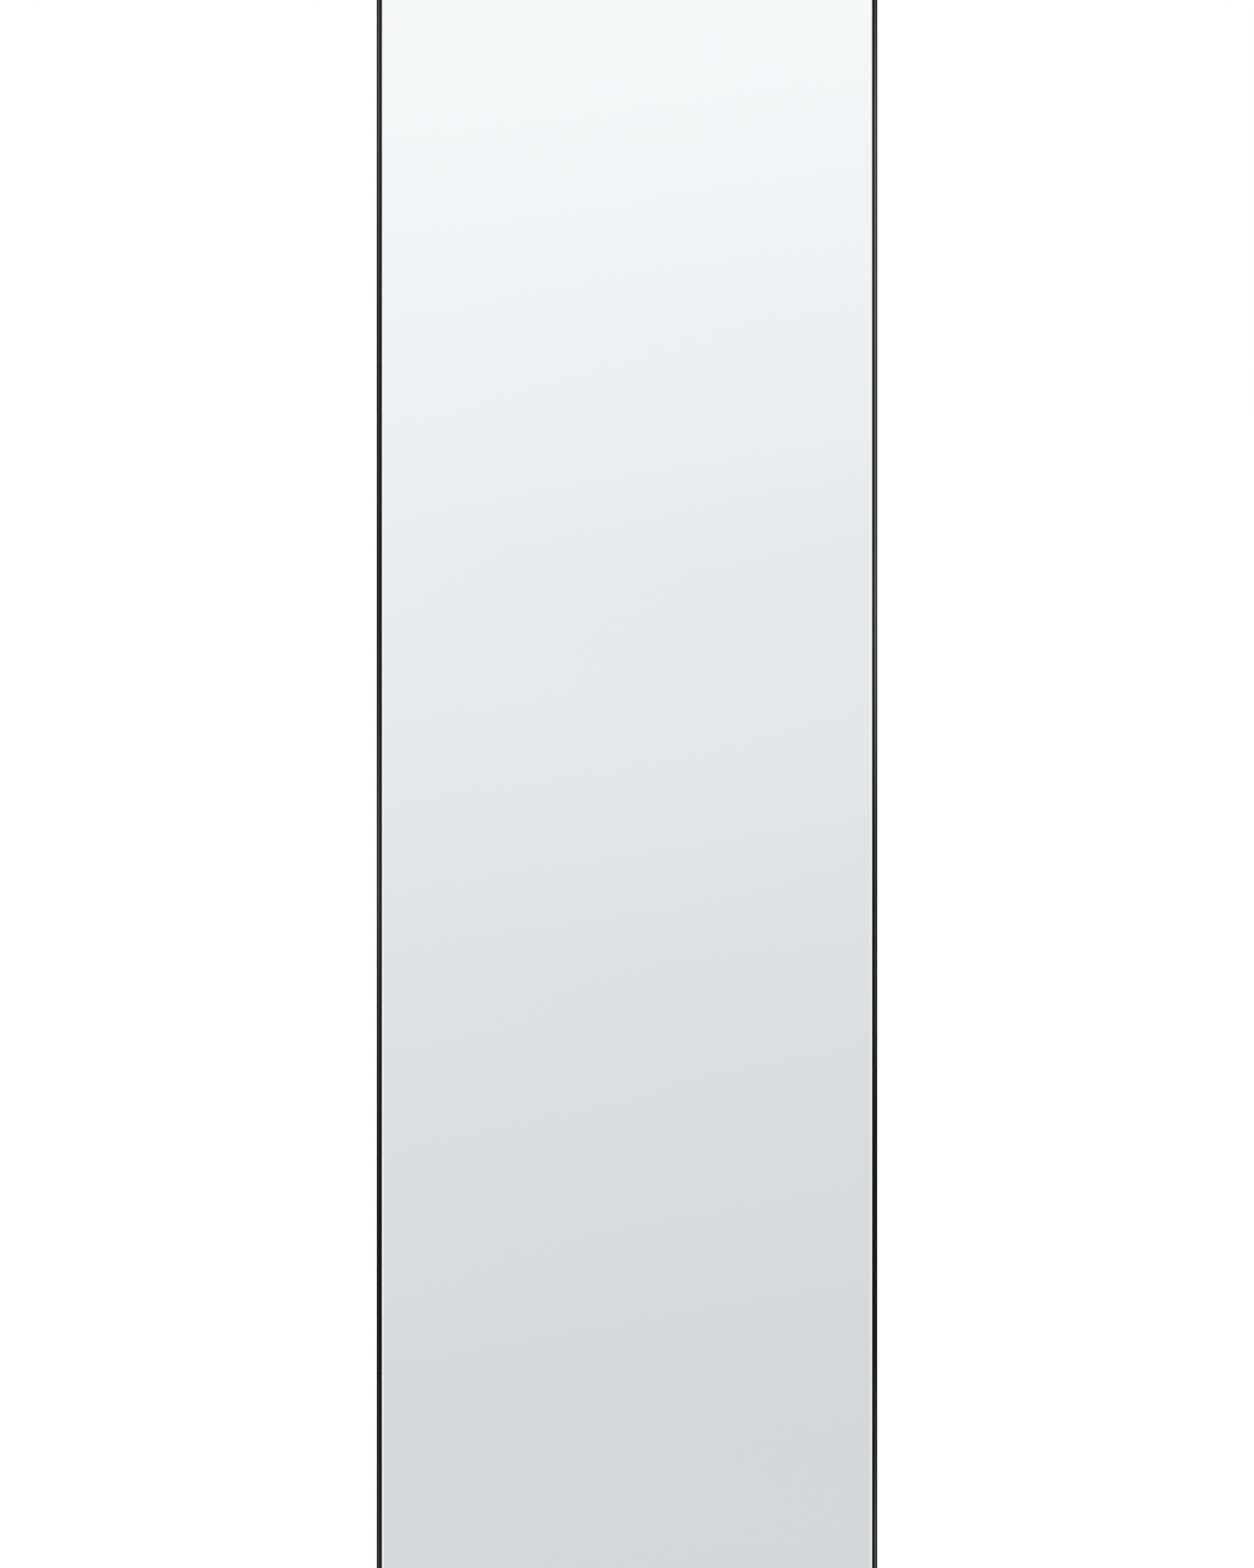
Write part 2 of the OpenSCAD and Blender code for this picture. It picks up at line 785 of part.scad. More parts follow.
// Round shank as wide as the tube, cut away to two flats below the eye's head
module eye_shank() {
    intersection() {
        translate([0, 0, -tube_top]) cylinder(r = tube_r, h = tube_top);
        translate([0, -tube_d, 0]) thick_y(2 * tube_d) for (side = [-1, 1]) polygon([
            [0, -tube_top - cut], [side * tube_d, -tube_top - cut],
            [side * tube_d, -tube_top + collar_h], [side * tube_r, -tube_top + collar_h],
            [side * eye_t / 2, -eye_neck], [side * eye_t / 2, cut], [0, cut]
        ]);
    }
    translate([0, 0, -tube_top - spigot_len])
        cylinder(r = tube_in_r - spigot_gap, h = spigot_len + eps);
}

// Heel above the pivot: its flat front meets the bracket's plate at the open stop,
// and its back runs down to the eye's round head
module eye_heel() {
    front = stop_gap - pivot_h;
    flank_r = eye_r - ear_blend;
    touch = atan2(heel_top, -heel_back) - acos(flank_r / norm([heel_back, heel_top]));
    thick_x(eye_t) polygon([
        [0, heel_low], [front, heel_low], [front, heel_top], [-heel_back, heel_top],
        flank_r * [cos(touch), sin(touch)]
    ]);
}

// Cast eye: bored head with its heel, shank and the spigot inside the tube
module stand_eye(right) {
    x = right ? leg_x : -leg_x;
    color("#303234") difference() {
        union() {
            standing() translate([x, 0, 0]) {
                rod_x(eye_r, eye_t);
                eye_shank();
            }
            translate([x, pivot_y, pivot_z]) rotate([-lean, 0, 0]) eye_heel();
        }
        standing() translate([x, 0, 0]) {
            rod_x(bolt_d / 2 + turn_gap, eye_t + 2 * cut);
            rivet_hole();
        }
    }
}

module stand_eye_rivets() {
    color("silver") standing() for (side = [-1, 1])
        translate([side * leg_x, 0, -tube_top - rivet_down]) {
            rod_x(rivet_r - spigot_gap, tube_d + 2 * rivet_proud);
            for (end = [-1, 1]) translate([end * (tube_r + rivet_proud), 0, 0])
                rotate([0, end * 90, 0]) domed_head(rivet_head_r, rivet_head_h, rivet_head_land);
        }
}

// Rubber sleeve with raised ribs, pushed over the crossbar beside the bend
module stand_sleeve(right) {
    rib_pitch = sleeve_len / sleeve_ribs;
    color("#2b2b2b") standing() flip([1, 0, 0], !right)
        translate([sleeve_x, 0, -leg_len]) difference() {
            union() {
                rod_x(sleeve_d / 2 - sleeve_groove, sleeve_len, false);
                for (i = [0:sleeve_ribs - 1]) translate([(i + 0.5) * rib_pitch, 0, 0])
                    rod_x(sleeve_d / 2, rib_pitch * rib_share);
            }
            translate([-cut, 0, 0]) rod_x(tube_r + seat_gap, sleeve_len + 2 * cut, false);
        }
}

top_rail();
bottom_rail();
upright_rail(false);  // left_rail
upright_rail(true);  // right_rail
corner_angle(false, true);  // corner_angle_top_left
corner_angle(true, true);  // corner_angle_top_right
corner_angle(false, false);  // corner_angle_bottom_left
corner_angle(true, false);  // corner_angle_bottom_right
backing_angle(false, true);  // backing_angle_top_left
backing_angle(true, true);  // backing_angle_top_right
backing_angle(false, false);  // backing_angle_bottom_left
backing_angle(true, false);  // backing_angle_bottom_right
corner_set_screws();
mirror_glass();
safety_film();
foam_sheet();
backing_board();
tension_springs();
hanger_plate(false);  // left_hanger_plate
hanger_plate(true);  // right_hanger_plate
hanger_screws();
hanger_nut_plate(false);  // left_hanger_nut_plate
hanger_nut_plate(true);  // right_hanger_nut_plate
stand_bracket(false);  // left_stand_bracket
stand_bracket(true);  // right_stand_bracket
bracket_screws();
bracket_nut_plate(false);  // left_bracket_nut_plate
bracket_nut_plate(true);  // right_bracket_nut_plate
pivot_bolt(false);  // left_pivot_bolt
pivot_bolt(true);  // right_pivot_bolt
pivot_nut(false);  // left_pivot_nut
pivot_nut(true);  // right_pivot_nut
pivot_washers();
foot_pad(false);  // left_foot_pad
foot_pad(true);  // right_foot_pad
foot_pad_screws();
wall_bumpers();
stand_tube();
stand_eye(false);  // left_stand_eye
stand_eye(true);  // right_stand_eye
stand_eye_rivets();
stand_sleeve(false);  // left_stand_sleeve
stand_sleeve(true);  // right_stand_sleeve
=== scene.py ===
# Slim-framed floor mirror on a folding rear stand: its finishes, its fine hardware and a plain studio.
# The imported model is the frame, and everything here is placed from it, in metres.
import json
import math

import bmesh
import bpy
from mathutils import Matrix, Vector


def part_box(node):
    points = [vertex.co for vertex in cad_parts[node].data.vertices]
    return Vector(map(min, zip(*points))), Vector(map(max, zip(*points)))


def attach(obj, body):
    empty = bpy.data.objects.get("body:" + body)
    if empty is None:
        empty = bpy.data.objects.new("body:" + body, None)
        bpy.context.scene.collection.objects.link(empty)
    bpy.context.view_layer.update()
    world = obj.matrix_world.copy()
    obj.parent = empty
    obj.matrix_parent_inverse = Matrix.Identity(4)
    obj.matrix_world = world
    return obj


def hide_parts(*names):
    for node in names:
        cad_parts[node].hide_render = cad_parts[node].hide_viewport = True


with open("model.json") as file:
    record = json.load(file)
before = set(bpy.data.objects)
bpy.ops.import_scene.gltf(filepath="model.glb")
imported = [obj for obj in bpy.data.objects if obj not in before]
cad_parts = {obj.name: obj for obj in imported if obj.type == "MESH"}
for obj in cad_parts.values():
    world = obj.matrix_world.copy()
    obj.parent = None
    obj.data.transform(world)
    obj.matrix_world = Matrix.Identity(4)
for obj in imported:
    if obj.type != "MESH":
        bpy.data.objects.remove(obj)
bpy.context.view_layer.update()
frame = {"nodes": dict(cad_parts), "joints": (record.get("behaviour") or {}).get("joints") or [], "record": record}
cadNodes = frame["nodes"]
mm = 0.001
weldGap = 0.002 * mm  # vertices closer than this are one
print("frame loaded")


# Places, read from the frame

def spanAlong(node, axis):
    places = [v.co.dot(axis) for v in cadNodes[node].data.vertices]
    return min(places), max(places)


def axesAt(origin, across, back, up):
    return Matrix.Translation(origin) @ Matrix((across, back, up)).transposed().to_4x4()


def markedBy(rows, name):
    return next(row for row in rows if row["name"] == name)


across = Vector((1, 0, 0))
backward = Vector(markedBy(frame["record"]["mounts"], "left_keyhole")["axis"]).normalized()
upward = across.cross(backward)  # along the leaning uprights
frontAt, rearAt = spanAlong("left_rail", backward)
lowAt, highAt = spanAlong("left_rail", upward)
mirrorTall = highAt - lowAt
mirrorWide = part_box("right_rail")[1].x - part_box("left_rail")[0].x
railDeep = rearAt - frontAt
leaning = axesAt(backward * frontAt + upward * lowAt, across, backward, upward)
leanTurn = leaning.to_euler()

pivot = Vector(markedBy(frame["joints"], "stand_fold")["pos_m"])
sleeveLow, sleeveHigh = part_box("left_stand_sleeve")
footCentre = Vector((0, (sleeveLow.y + sleeveHigh.y) / 2, (sleeveLow.z + sleeveHigh.z) / 2))
legUp = (pivot - footCentre).normalized()
legLong = (pivot - footCentre).length
standing = axesAt(pivot, across, legUp.cross(across), legUp)


def mergedShape(node):
    # a copy of a CAD node, whose triangles are loose, with its doubles merged
    bm = bmesh.new()
    bm.from_mesh(cadNodes[node].data)
    bmesh.ops.remove_doubles(bm, verts=bm.verts, dist=weldGap)
    return bm


def solidBoxes(node, place):
    # lowest and highest corner of each separate solid of a CAD node, in a place's own axes
    bm = mergedShape(node)
    bm.transform(place.inverted())
    left, boxes = set(bm.verts), []
    while left:
        island, edge = set(), [left.pop()]
        while edge:
            vert = edge.pop()
            island.add(vert)
            near = {e.other_vert(vert) for e in vert.link_edges} & left
            left -= near
            edge += near
        corners = [[pick(v.co[i] for v in island) for i in range(3)] for pick in (min, max)]
        boxes.append((Vector(corners[0]), Vector(corners[1])))
    bm.free()
    return sorted(boxes, key=lambda box: tuple(round(c, 5) for c in box[0]))


# Nodes and materials

def fillSockets(tree, node, sockets):
    # a socket takes a plain value, another node's output, or a whole node for its first output
    for socket, value in sockets.items():
        if isinstance(value, bpy.types.Node):
            value = value.outputs[0]
        if isinstance(value, bpy.types.NodeSocket):
            tree.links.new(value, node.inputs[socket])
        else:
            node.inputs[socket].default_value = value


def addNode(tree, kind, sockets=None, stops=(), **settings):
    # stops are a ramp's places from 0 to 1, each with its hex colour
    node = tree.nodes.new(kind)
    for name, value in settings.items():
        setattr(node, name, value)
    fillSockets(tree, node, sockets or {})
    for _ in stops[2:]:
        node.color_ramp.elements.new(0.5)
    for i, (place, code) in enumerate(stops):
        node.color_ramp.elements[i].position = place
        node.color_ramp.elements[i].color = linear(code)
    return node


def linear(code):
    # sRGB hex to linear RGBA
    parts = [int(code[i:i + 2], 16) / 255 for i in (1, 3, 5)]
    return tuple(c / 12.92 if c <= 0.04045 else ((c + 0.055) / 1.055) ** 2.4 for c in parts) + (1,)


def newMaterial(name):
    material = bpy.data.materials.new(name)
    material.use_nodes = True
    return material, material.node_tree, material.node_tree.nodes["Principled BSDF"]


def pattern(tree, kind, sizes, turn=(0, 0, 0), start=(0, 0, 0), **sockets):
    # a texture of any kind on object coordinates, whose own sizes are given in millimetres
    place = addNode(tree, "ShaderNodeMapping", {
        "Vector": addNode(tree, "ShaderNodeTexCoord").outputs["Object"],
        "Location": start, "Rotation": turn, "Scale": [size * mm for size in sizes],
    }, vector_type="TEXTURE")
    return addNode(tree, kind, {"Vector": place, "Scale": 1.0, **sockets})


def mottled(tree, tinted=None, stops=(), dulled=None, roughness=(), reach=(0.3, 0.7), raised=None, height=0):
    # one pattern tints a surface, one dulls it over its reach, and one raises it by a height in millimetres
    sockets = {}
    if tinted:
        sockets["Base Color"] = addNode(tree, "ShaderNodeValToRGB", {"Fac": tinted}, stops)
    if dulled:
        sockets["Roughness"] = addNode(tree, "ShaderNodeMapRange", {
            "Value": dulled, "From Min": reach[0], "From Max": reach[1],
            "To Min": roughness[0], "To Max": roughness[1],
        })
    if raised:
        sockets["Normal"] = addNode(tree, "ShaderNodeBump", {"Height": raised, "Distance": height * mm})
    return sockets


rail = {  # in millimetres; the finish reads it as well
    "face": 3.5, "lip": 2, "wall": 1.3, "web": 1.3,  # the drawn section
    "channelWide": 12.4, "channelDeep": 6.2, "slotWide": 6.4, "rearLip": 1.3,
    "crown": 0.4, "edgeRound": 0.7, "tipRound": 0.3, "rearRound": 0.4,
    "seam": 0.12,  # the chamfer round each mitred end, which shows as a hairline
    "crownSteps": 12, "edgeSteps": 8, "tipSteps": 5, "rearSteps": 4,  # flats to each round of the section
}

paintedRailLight = {  # how far the painted highlight and the painted shade on the rails' crowned face reach, fully and at all, in millimetres
    "crest": (0.25, 1.05),  # the painted highlight, to either side of the middle of the crowned face
    "front": (0.4, 0.8),  # the painted shade, and the highlight within it, back from that face
    "highlightDriftSizes": (500, 500, 500), "highlightDriftStart": (8.41, 2.38, 7.01),  # the painted highlight grows slowly brighter and darker along the rails
}


def blackAnodisedAluminium():
    # extruded 6063, etched and dyed black: a dark metal with a soft sheen and faint die lines, with a painted
    # highlight along the crest of its crowned face and painted shade on the rest of it; real etch pits are 0.02
    # mm, too fine to show, so they are drawn coarser
    material, tree, shader = newMaterial("black_anodised_aluminium")
    flow = addNode(tree, "ShaderNodeAttribute", attribute_name="flow").outputs["Vector"]
    drawn = addNode(tree, "ShaderNodeMapping", {
        "Vector": flow, "Scale": (0.35 * mm, 0.35 * mm, 90 * mm)}, vector_type="TEXTURE")
    dieLines = addNode(tree, "ShaderNodeTexNoise", {"Vector": drawn, "Scale": 1.0, "Detail": 3.0})
    etch = pattern(tree, "ShaderNodeTexNoise", (0.25, 0.25, 0.25))
    uneven = addNode(tree, "ShaderNodeMath", {0: dieLines, 1: etch}, operation="ADD")
    clouds = pattern(tree, "ShaderNodeTexNoise", (60, 60, 60))
    dyedSides = addNode(tree, "ShaderNodeValToRGB", {"Fac": clouds}, [
        (0.35, "#262727"), (0.65, "#2d2e2e")])
    parts = addNode(tree, "ShaderNodeSeparateXYZ", {0: flow}).outputs
    fromMiddle = addNode(tree, "ShaderNodeMath", {
        0: parts[0], 1: rail["face"] / 2 * mm}, operation="SUBTRACT")
    aside = addNode(tree, "ShaderNodeMath", {0: fromMiddle}, operation="ABSOLUTE")
    # masks of the painted highlight on the crest and of the painted shade on the front face
    crest, front = [
        addNode(tree, "ShaderNodeMapRange", {
            "Value": away, "From Min": fully * mm, "From Max": atAll * mm, "To Min": 1.0, "To Max": 0.0})
        for away, (fully, atAll) in ((aside, paintedRailLight["crest"]), (parts[1], paintedRailLight["front"]))
    ]
    # painted shade: the crowned face is painted near black, darker than the dyed sides
    dyeAndPaintedShade = addNode(tree, "ShaderNodeMix", {
        "Factor": front, 6: dyedSides, 7: linear("#0f1010")}, data_type="RGBA").outputs[2]
    # painted highlight: a paler crest colour, slowly brighter and darker along the rails
    paintedHighlightDrift = pattern(tree, "ShaderNodeTexNoise", paintedRailLight["highlightDriftSizes"], start=paintedRailLight["highlightDriftStart"], Detail=1.0)
    paintedHighlightTones = addNode(tree, "ShaderNodeValToRGB", {"Fac": paintedHighlightDrift}, [
        (0.35, "#242625"), (0.5, "#404443"), (0.65, "#6c706f")])
    # the painted highlight lies only along the crest of the crowned face
    paintedHighlightBand = addNode(tree, "ShaderNodeMath", {0: crest, 1: front}, operation="MULTIPLY")
    fillSockets(tree, shader, {
        "Metallic": 0.9, "Anisotropic": 0.35, "Specular Tint": linear("#8a8a8a"),
        "Base Color": addNode(tree, "ShaderNodeMix", {
            "Factor": paintedHighlightBand, 6: dyeAndPaintedShade, 7: paintedHighlightTones}, data_type="RGBA").outputs[2],
        **mottled(tree, dulled=dieLines, roughness=(0.26, 0.38), raised=uneven, height=0.006),
    })
    return material


def silveredGlass():
    # float glass silvered on its back: a clear cool reflection, with the float line's slight waves
    material, tree, shader = newMaterial("silvered_glass")
    haze = pattern(tree, "ShaderNodeTexNoise", (45, 45, 70), leanTurn, Detail=3.0)
    waves = pattern(tree, "ShaderNodeTexNoise", (300, 300, 500), leanTurn, Detail=1.0)
    fillSockets(tree, shader, {"Metallic": 1.0, "Base Color": linear("#f8fafc"), **mottled(
        tree, dulled=haze, roughness=(0.002, 0.009), raised=waves, height=0.05)})
    return material


def hardboard():
    # wood fibre pressed hot between smooth plates: mid brown, speckled with fine bundles, low sheen
    material, tree, shader = newMaterial("hardboard")
    fibres = pattern(tree, "ShaderNodeTexNoise", (0.9, 0.9, 0.9), Detail=5.0, Roughness=0.7, Distortion=0.8)
    bundles = pattern(tree, "ShaderNodeTexNoise", (3.2, 3.2, 3.2), Detail=3.0, Roughness=0.6, Distortion=2.0)
    clouds = pattern(tree, "ShaderNodeTexNoise", (140, 140, 220), leanTurn, Detail=3.0)
    fine = addNode(tree, "ShaderNodeMath", {0: bundles, 1: 0.6, 2: fibres}, operation="MULTIPLY_ADD")
    mixed = addNode(tree, "ShaderNodeMath", {0: clouds, 1: 0.3, 2: fine}, operation="MULTIPLY_ADD")
    paler = addNode(tree, "ShaderNodeMapRange", {"Value": mixed, "From Min": 0.65, "From Max": 1.25})
    fillSockets(tree, shader, {"Specular IOR Level": 0.4, **mottled(
        tree, paler, [(0.0, "#553c29"), (0.35, "#6b4d35"), (0.7, "#775940"), (1.0, "#8c6c4e")],
        dulled=fine, roughness=(0.48, 0.62), raised=fine, height=0.05, reach=(0.6, 1.0))})
    return material


def zincPlatedSteel():
    # bright zinc with a clear passivate: bluish grey, slightly cloudy, with the sheet's rolling lines
    material, tree, shader = newMaterial("zinc_plated_steel")
    clouds = pattern(tree, "ShaderNodeTexNoise", (6, 6, 6), Detail=4.0, Roughness=0.6)
    rolled = pattern(tree, "ShaderNodeTexNoise", (0.25, 0.25, 9), leanTurn)
    both = addNode(tree, "ShaderNodeMath", {0: clouds, 1: rolled}, operation="ADD")
    fillSockets(tree, shader, {"Metallic": 1.0, **mottled(
        tree, clouds, [(0.3, "#a3a9af"), (0.5, "#b3b9be"), (0.7, "#c2c4c1")],
        dulled=both, roughness=(0.24, 0.42), raised=rolled, height=0.004, reach=(0.7, 1.3))})
    return material


def blackOxideSteel():
    # heat-treated steel with an oiled black oxide: near black, with a brownish bloom
    material, tree, shader = newMaterial("black_oxide_steel")
    bloom = pattern(tree, "ShaderNodeTexNoise", (2.5, 2.5, 2.5), Detail=4.0, Roughness=0.6)
    fillSockets(tree, shader, {"Metallic": 0.95, **mottled(
        tree, bloom, [(0.35, "#1d1e20"), (0.7, "#302e2c")],
        dulled=bloom, roughness=(0.3, 0.45), raised=bloom, height=0.01)})
    return material


def temperedSpringSteel():
    # bright-rolled and tempered strip with a trace of straw and blue, ground along its length
    material, tree, shader = newMaterial("tempered_spring_steel")
    tint = pattern(tree, "ShaderNodeTexNoise", (18, 18, 18))
    ground = pattern(tree, "ShaderNodeTexNoise", (0.3, 0.3, 12), leanTurn)
    fillSockets(tree, shader, {"Metallic": 1.0, **mottled(
        tree, tint, [(0.35, "#9aa2ad"), (0.65, "#b9b7b0")],
        dulled=ground, roughness=(0.42, 0.56), raised=ground, height=0.004)})
    return material


def blackPowderCoat():
    # polyester powder on steel: satin black with a fine orange peel
    material, tree, shader = newMaterial("black_powder_coat")
    peel = pattern(tree, "ShaderNodeTexNoise", (0.9, 0.9, 0.9))
    dust = pattern(tree, "ShaderNodeTexNoise", (25, 25, 40), Detail=4.0, Roughness=0.6)
    fillSockets(tree, shader, {"Coat Weight": 0.1, "Coat Roughness": 0.35, **mottled(
        tree, dust, [(0.3, "#151617"), (0.7, "#1c1d1f")],
        dulled=dust, roughness=(0.46, 0.6), raised=peel, height=0.03)})
    return material


def naturalNylon():
    # moulded polyamide 6, undyed: milky white, waxy
    material, tree, shader = newMaterial("natural_nylon")
    milk = pattern(tree, "ShaderNodeTexNoise", (3, 3, 3))
    fillSockets(tree, shader, {"Subsurface Weight": 0.15, "Subsurface Scale": 1 * mm, "IOR": 1.53, **mottled(
        tree, milk, [(0.3, "#d6d4c9"), (0.7, "#e2e1d8")], dulled=milk, roughness=(0.38, 0.5))})
    return material


def blackRubber():
    # moulded EPDM: matt black with a grey bloom and a spark-eroded grain
    material, tree, shader = newMaterial("black_epdm_rubber")
    bloom = pattern(tree, "ShaderNodeTexNoise", (9, 9, 9), Detail=4.0, Roughness=0.6)
    grain = pattern(tree, "ShaderNodeTexNoise", (0.4, 0.4, 0.4))
    fillSockets(tree, shader, {"Specular IOR Level": 0.4, "IOR": 1.52, **mottled(
        tree, bloom, [(0.3, "#1b1b1c"), (0.7, "#272727")],
        dulled=bloom, roughness=(0.62, 0.8), raised=grain, height=0.03)})
    return material


def polyethyleneFoam():
    # closed-cell foam sheet: white, with its cells just visible
    material, tree, shader = newMaterial("polyethylene_foam")
    cells = pattern(tree, "ShaderNodeTexVoronoi", (1.4, 1.4, 1.4))
    fillSockets(tree, shader, {"Roughness": 0.8, "Subsurface Weight": 0.2, **mottled(
        tree, cells, [(0.0, "#f4f4f0"), (0.8, "#dcdcd6")], raised=cells, height=0.2)})
    return material


def safetyFilm():
    # pressure-sensitive polyethylene film: bluish grey and waxy
    material, tree, shader = newMaterial("polyethylene_safety_film")
    creases = pattern(tree, "ShaderNodeTexNoise", (4, 4, 60), leanTurn, Detail=3.0)
    fillSockets(tree, shader, {"IOR": 1.51, **mottled(
        tree, creases, [(0.3, "#c6d0d4"), (0.7, "#d2dadd")],
        dulled=creases, roughness=(0.3, 0.45), raised=creases, height=0.03)})
    return material


finishes = {
    "black_anodised": blackAnodisedAluminium(),
    "mirror_glass": silveredGlass(),
    "hardboard": hardboard(),
    "zinc_plated": zincPlatedSteel(),
    "black_oxide": blackOxideSteel(),
    "spring_steel": temperedSpringSteel(),
    "black_powder_coat": blackPowderCoat(),
    "nylon": naturalNylon(),
    "black_rubber": blackRubber(),
    "foam": polyethyleneFoam(),
    "safety_film": safetyFilm(),
}
for node in cadNodes.values():  # every CAD node takes the finish of its own slot
    slotName = node.data.materials[0].name
    node.data.materials[0] = finishes[slotName]
print("finishes made:", len(finishes))


# Making pieces

def newObject(name, data):
    made = bpy.data.objects.new(name, data)
    bpy.context.scene.collection.objects.link(made)
    return made


def settle(piece, slotName, body, *replaced):
    # a finished piece takes its finish, stands in for its CAD nodes and rides on its body
    piece.data.materials.clear()
    piece.data.materials.append(finishes[slotName])
    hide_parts(*replaced)
    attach(piece, body)


def meshFrom(bm, name, crisp=35):
    # edges that turn by more than crisp, in degrees, stay sharp
    bmesh.ops.recalc_face_normals(bm, faces=bm.faces)
    mesh = bpy.data.meshes.new(name)
    bm.to_mesh(mesh)
    bm.free()
    mesh.shade_smooth()
    mesh.set_sharp_from_angle(angle=math.radians(crisp))
    return mesh


def plainMesh(piece):
    # the evaluated shape as a plain mesh, with its modifiers gone
    graph = bpy.context.evaluated_depsgraph_get()
    mesh = bpy.data.meshes.new_from_object(piece.evaluated_get(graph), depsgraph=graph)
    piece.modifiers.clear()
    piece.data = mesh


def arc(centre, radius, start, end, steps):
    # from one angle to the other, in degrees
    turns = [math.radians(start + (end - start) * i / steps) for i in range(steps + 1)]
    return [(centre[0] + radius * math.cos(t), centre[1] + radius * math.sin(t)) for t in turns]


# Frame rails: one drawn section, cut to mitres

def crownSection():
    # the shallow arc of the front face, run into the rail's side and into the lip's tip by two small arcs
    face, edge, tip = rail["face"], rail["edgeRound"], rail["tipRound"]
    radius = ((face / 2) ** 2 + rail["crown"] ** 2) / (2 * rail["crown"])
    edgeOver = math.degrees(math.asin((face / 2 - edge) / (radius - edge)))
    tipOver = math.degrees(math.asin((face / 2 - tip) / (radius - tip)))
    edgeRise = radius - (radius - edge) * math.cos(math.radians(edgeOver))
    tipRise = radius - (radius - tip) * math.cos(math.radians(tipOver))
    return [
        *arc((edge, edgeRise), edge, 180, 270 - edgeOver, rail["edgeSteps"]),
        *arc((face / 2, radius), radius, 270 - edgeOver, 270 + tipOver, rail["crownSteps"])[1:-1],
        *arc((face - tip, tipRise), tip, 270 + tipOver, 360, rail["tipSteps"]),
    ]


def railSection():
    # u runs inwards from the outer face, v runs back from the front face, in millimetres
    deep = railDeep / mm
    wide = rail["wall"] + rail["channelWide"] + rail["web"]
    inLip = deep - rail["rearLip"]
    channelFloor = inLip - rail["channelDeep"]
    webFront = channelFloor - rail["web"]
    lipSide = (rail["channelWide"] - rail["slotWide"]) / 2
    slotNear, slotFar = rail["wall"] + lipSide, wide - rail["web"] - lipSide
    k, steps = rail["rearRound"], rail["rearSteps"]
    return [
        *crownSection(),
        (rail["face"], rail["lip"]), (rail["wall"], rail["lip"]), (rail["wall"], webFront),
        *arc((wide - k, webFront + k), k, 270, 360, steps),
        *arc((wide - k, deep - k), k, 0, 90, steps),
        (slotFar, deep), (slotFar, inLip), (wide - rail["web"], inLip), (wide - rail["web"], channelFloor),
        (rail["wall"], channelFloor), (rail["wall"], inLip), (slotNear, inLip), (slotNear, deep),
        *arc((k, deep - k), k, 90, 180, steps),
    ]


def insetSection(points, inset):
    # each point moves inwards along the mean of its two edges' normals
    moved = []
    for i, here in enumerate(points):
        before, after = points[i - 1], points[(i + 1) % len(points)]
        sides = [(here - before).normalized(), (after - here).normalized()]
        normals = [Vector((-side.y, side.x)) for side in sides]
        moved.append(here + (normals[0] + normals[1]) * inset / (1 + normals[0].dot(normals[1])))
    return moved


def makeRail(node, length, place):
    # place turns inwards, back and along the rail into the mirror's own axes
    full = [Vector(point) for point in railSection()]
    cut = insetSection(full, rail["seam"])
    nearEnd = [(cut, 0, False), (full, rail["seam"], False)]
    farEnd = [(full, rail["seam"], True), (cut, 0, True)]
    bm = bmesh.new()
    flow = bm.verts.layers.float_vector.new("flow")
    rings = []
    for section, offset, isFar in nearEnd + farEnd:
        rings.append([])
        for p in section:
            along = length / mm - p.x - offset if isFar else p.x + offset
            vert = bm.verts.new(leaning @ place(p.x * mm, p.y * mm, along * mm))
            vert[flow] = Vector((p.x, p.y, along)) * mm
            rings[-1].append(vert)
    for ring, nextRing in zip(rings, rings[1:]):
        for i in range(len(ring)):
            j = (i + 1) % len(ring)
            bm.faces.new((ring[i], ring[j], nextRing[j], nextRing[i]))
    for end in (rings[0], rings[-1]):
        bmesh.ops.triangulate(bm, faces=[bm.faces.new(end)])
    name = node + "_extrusion"
    settle(newObject(name, meshFrom(bm, name)), "black_anodised", "mirror", node)


half = mirrorWide / 2
makeRail("left_rail", mirrorTall, lambda u, v, along: Vector((u - half, v, along)))
makeRail("right_rail", mirrorTall, lambda u, v, along: Vector((half - u, v, along)))
makeRail("bottom_rail", mirrorWide, lambda u, v, along: Vector((along - half, v, u)))
makeRail("top_rail", mirrorWide, lambda u, v, along: Vector((along - half, v, mirrorTall - u)))
print("rails drawn")


# Pressed, cast and moulded pieces: the CAD shape with its edges eased

easing = {
    "stamped": 0.25, "cast": 0.45, "moulded": 0.35, "hexagon": 0.3,  # each kind's edges, in millimetres
    "segments": 2,
    "flat": 0.4,  # faces that meet at less, in degrees, are joined
    "eased": 38, "crisp": 42,  # edges that turn by more are eased, and those left that do so stay sharp
}


def easeEdges(node, kind, slotName, body):
    bm = mergedShape(node)
    bmesh.ops.dissolve_limit(
        bm, angle_limit=math.radians(easing["flat"]), verts=bm.verts, edges=bm.edges)
    name = node + "_" + kind
    piece = newObject(name, meshFrom(bm, name))
    bevel = piece.modifiers.new("Eased edges", "BEVEL")
    bevel.width = easing[kind] * mm
    bevel.segments = easing["segments"]
    bevel.limit_method = "ANGLE"
    bevel.angle_limit = math.radians(easing["eased"])
    plainMesh(piece)
    piece.data.shade_smooth()
    piece.data.set_sharp_from_angle(angle=math.radians(easing["crisp"]))
    settle(piece, slotName, body, node)


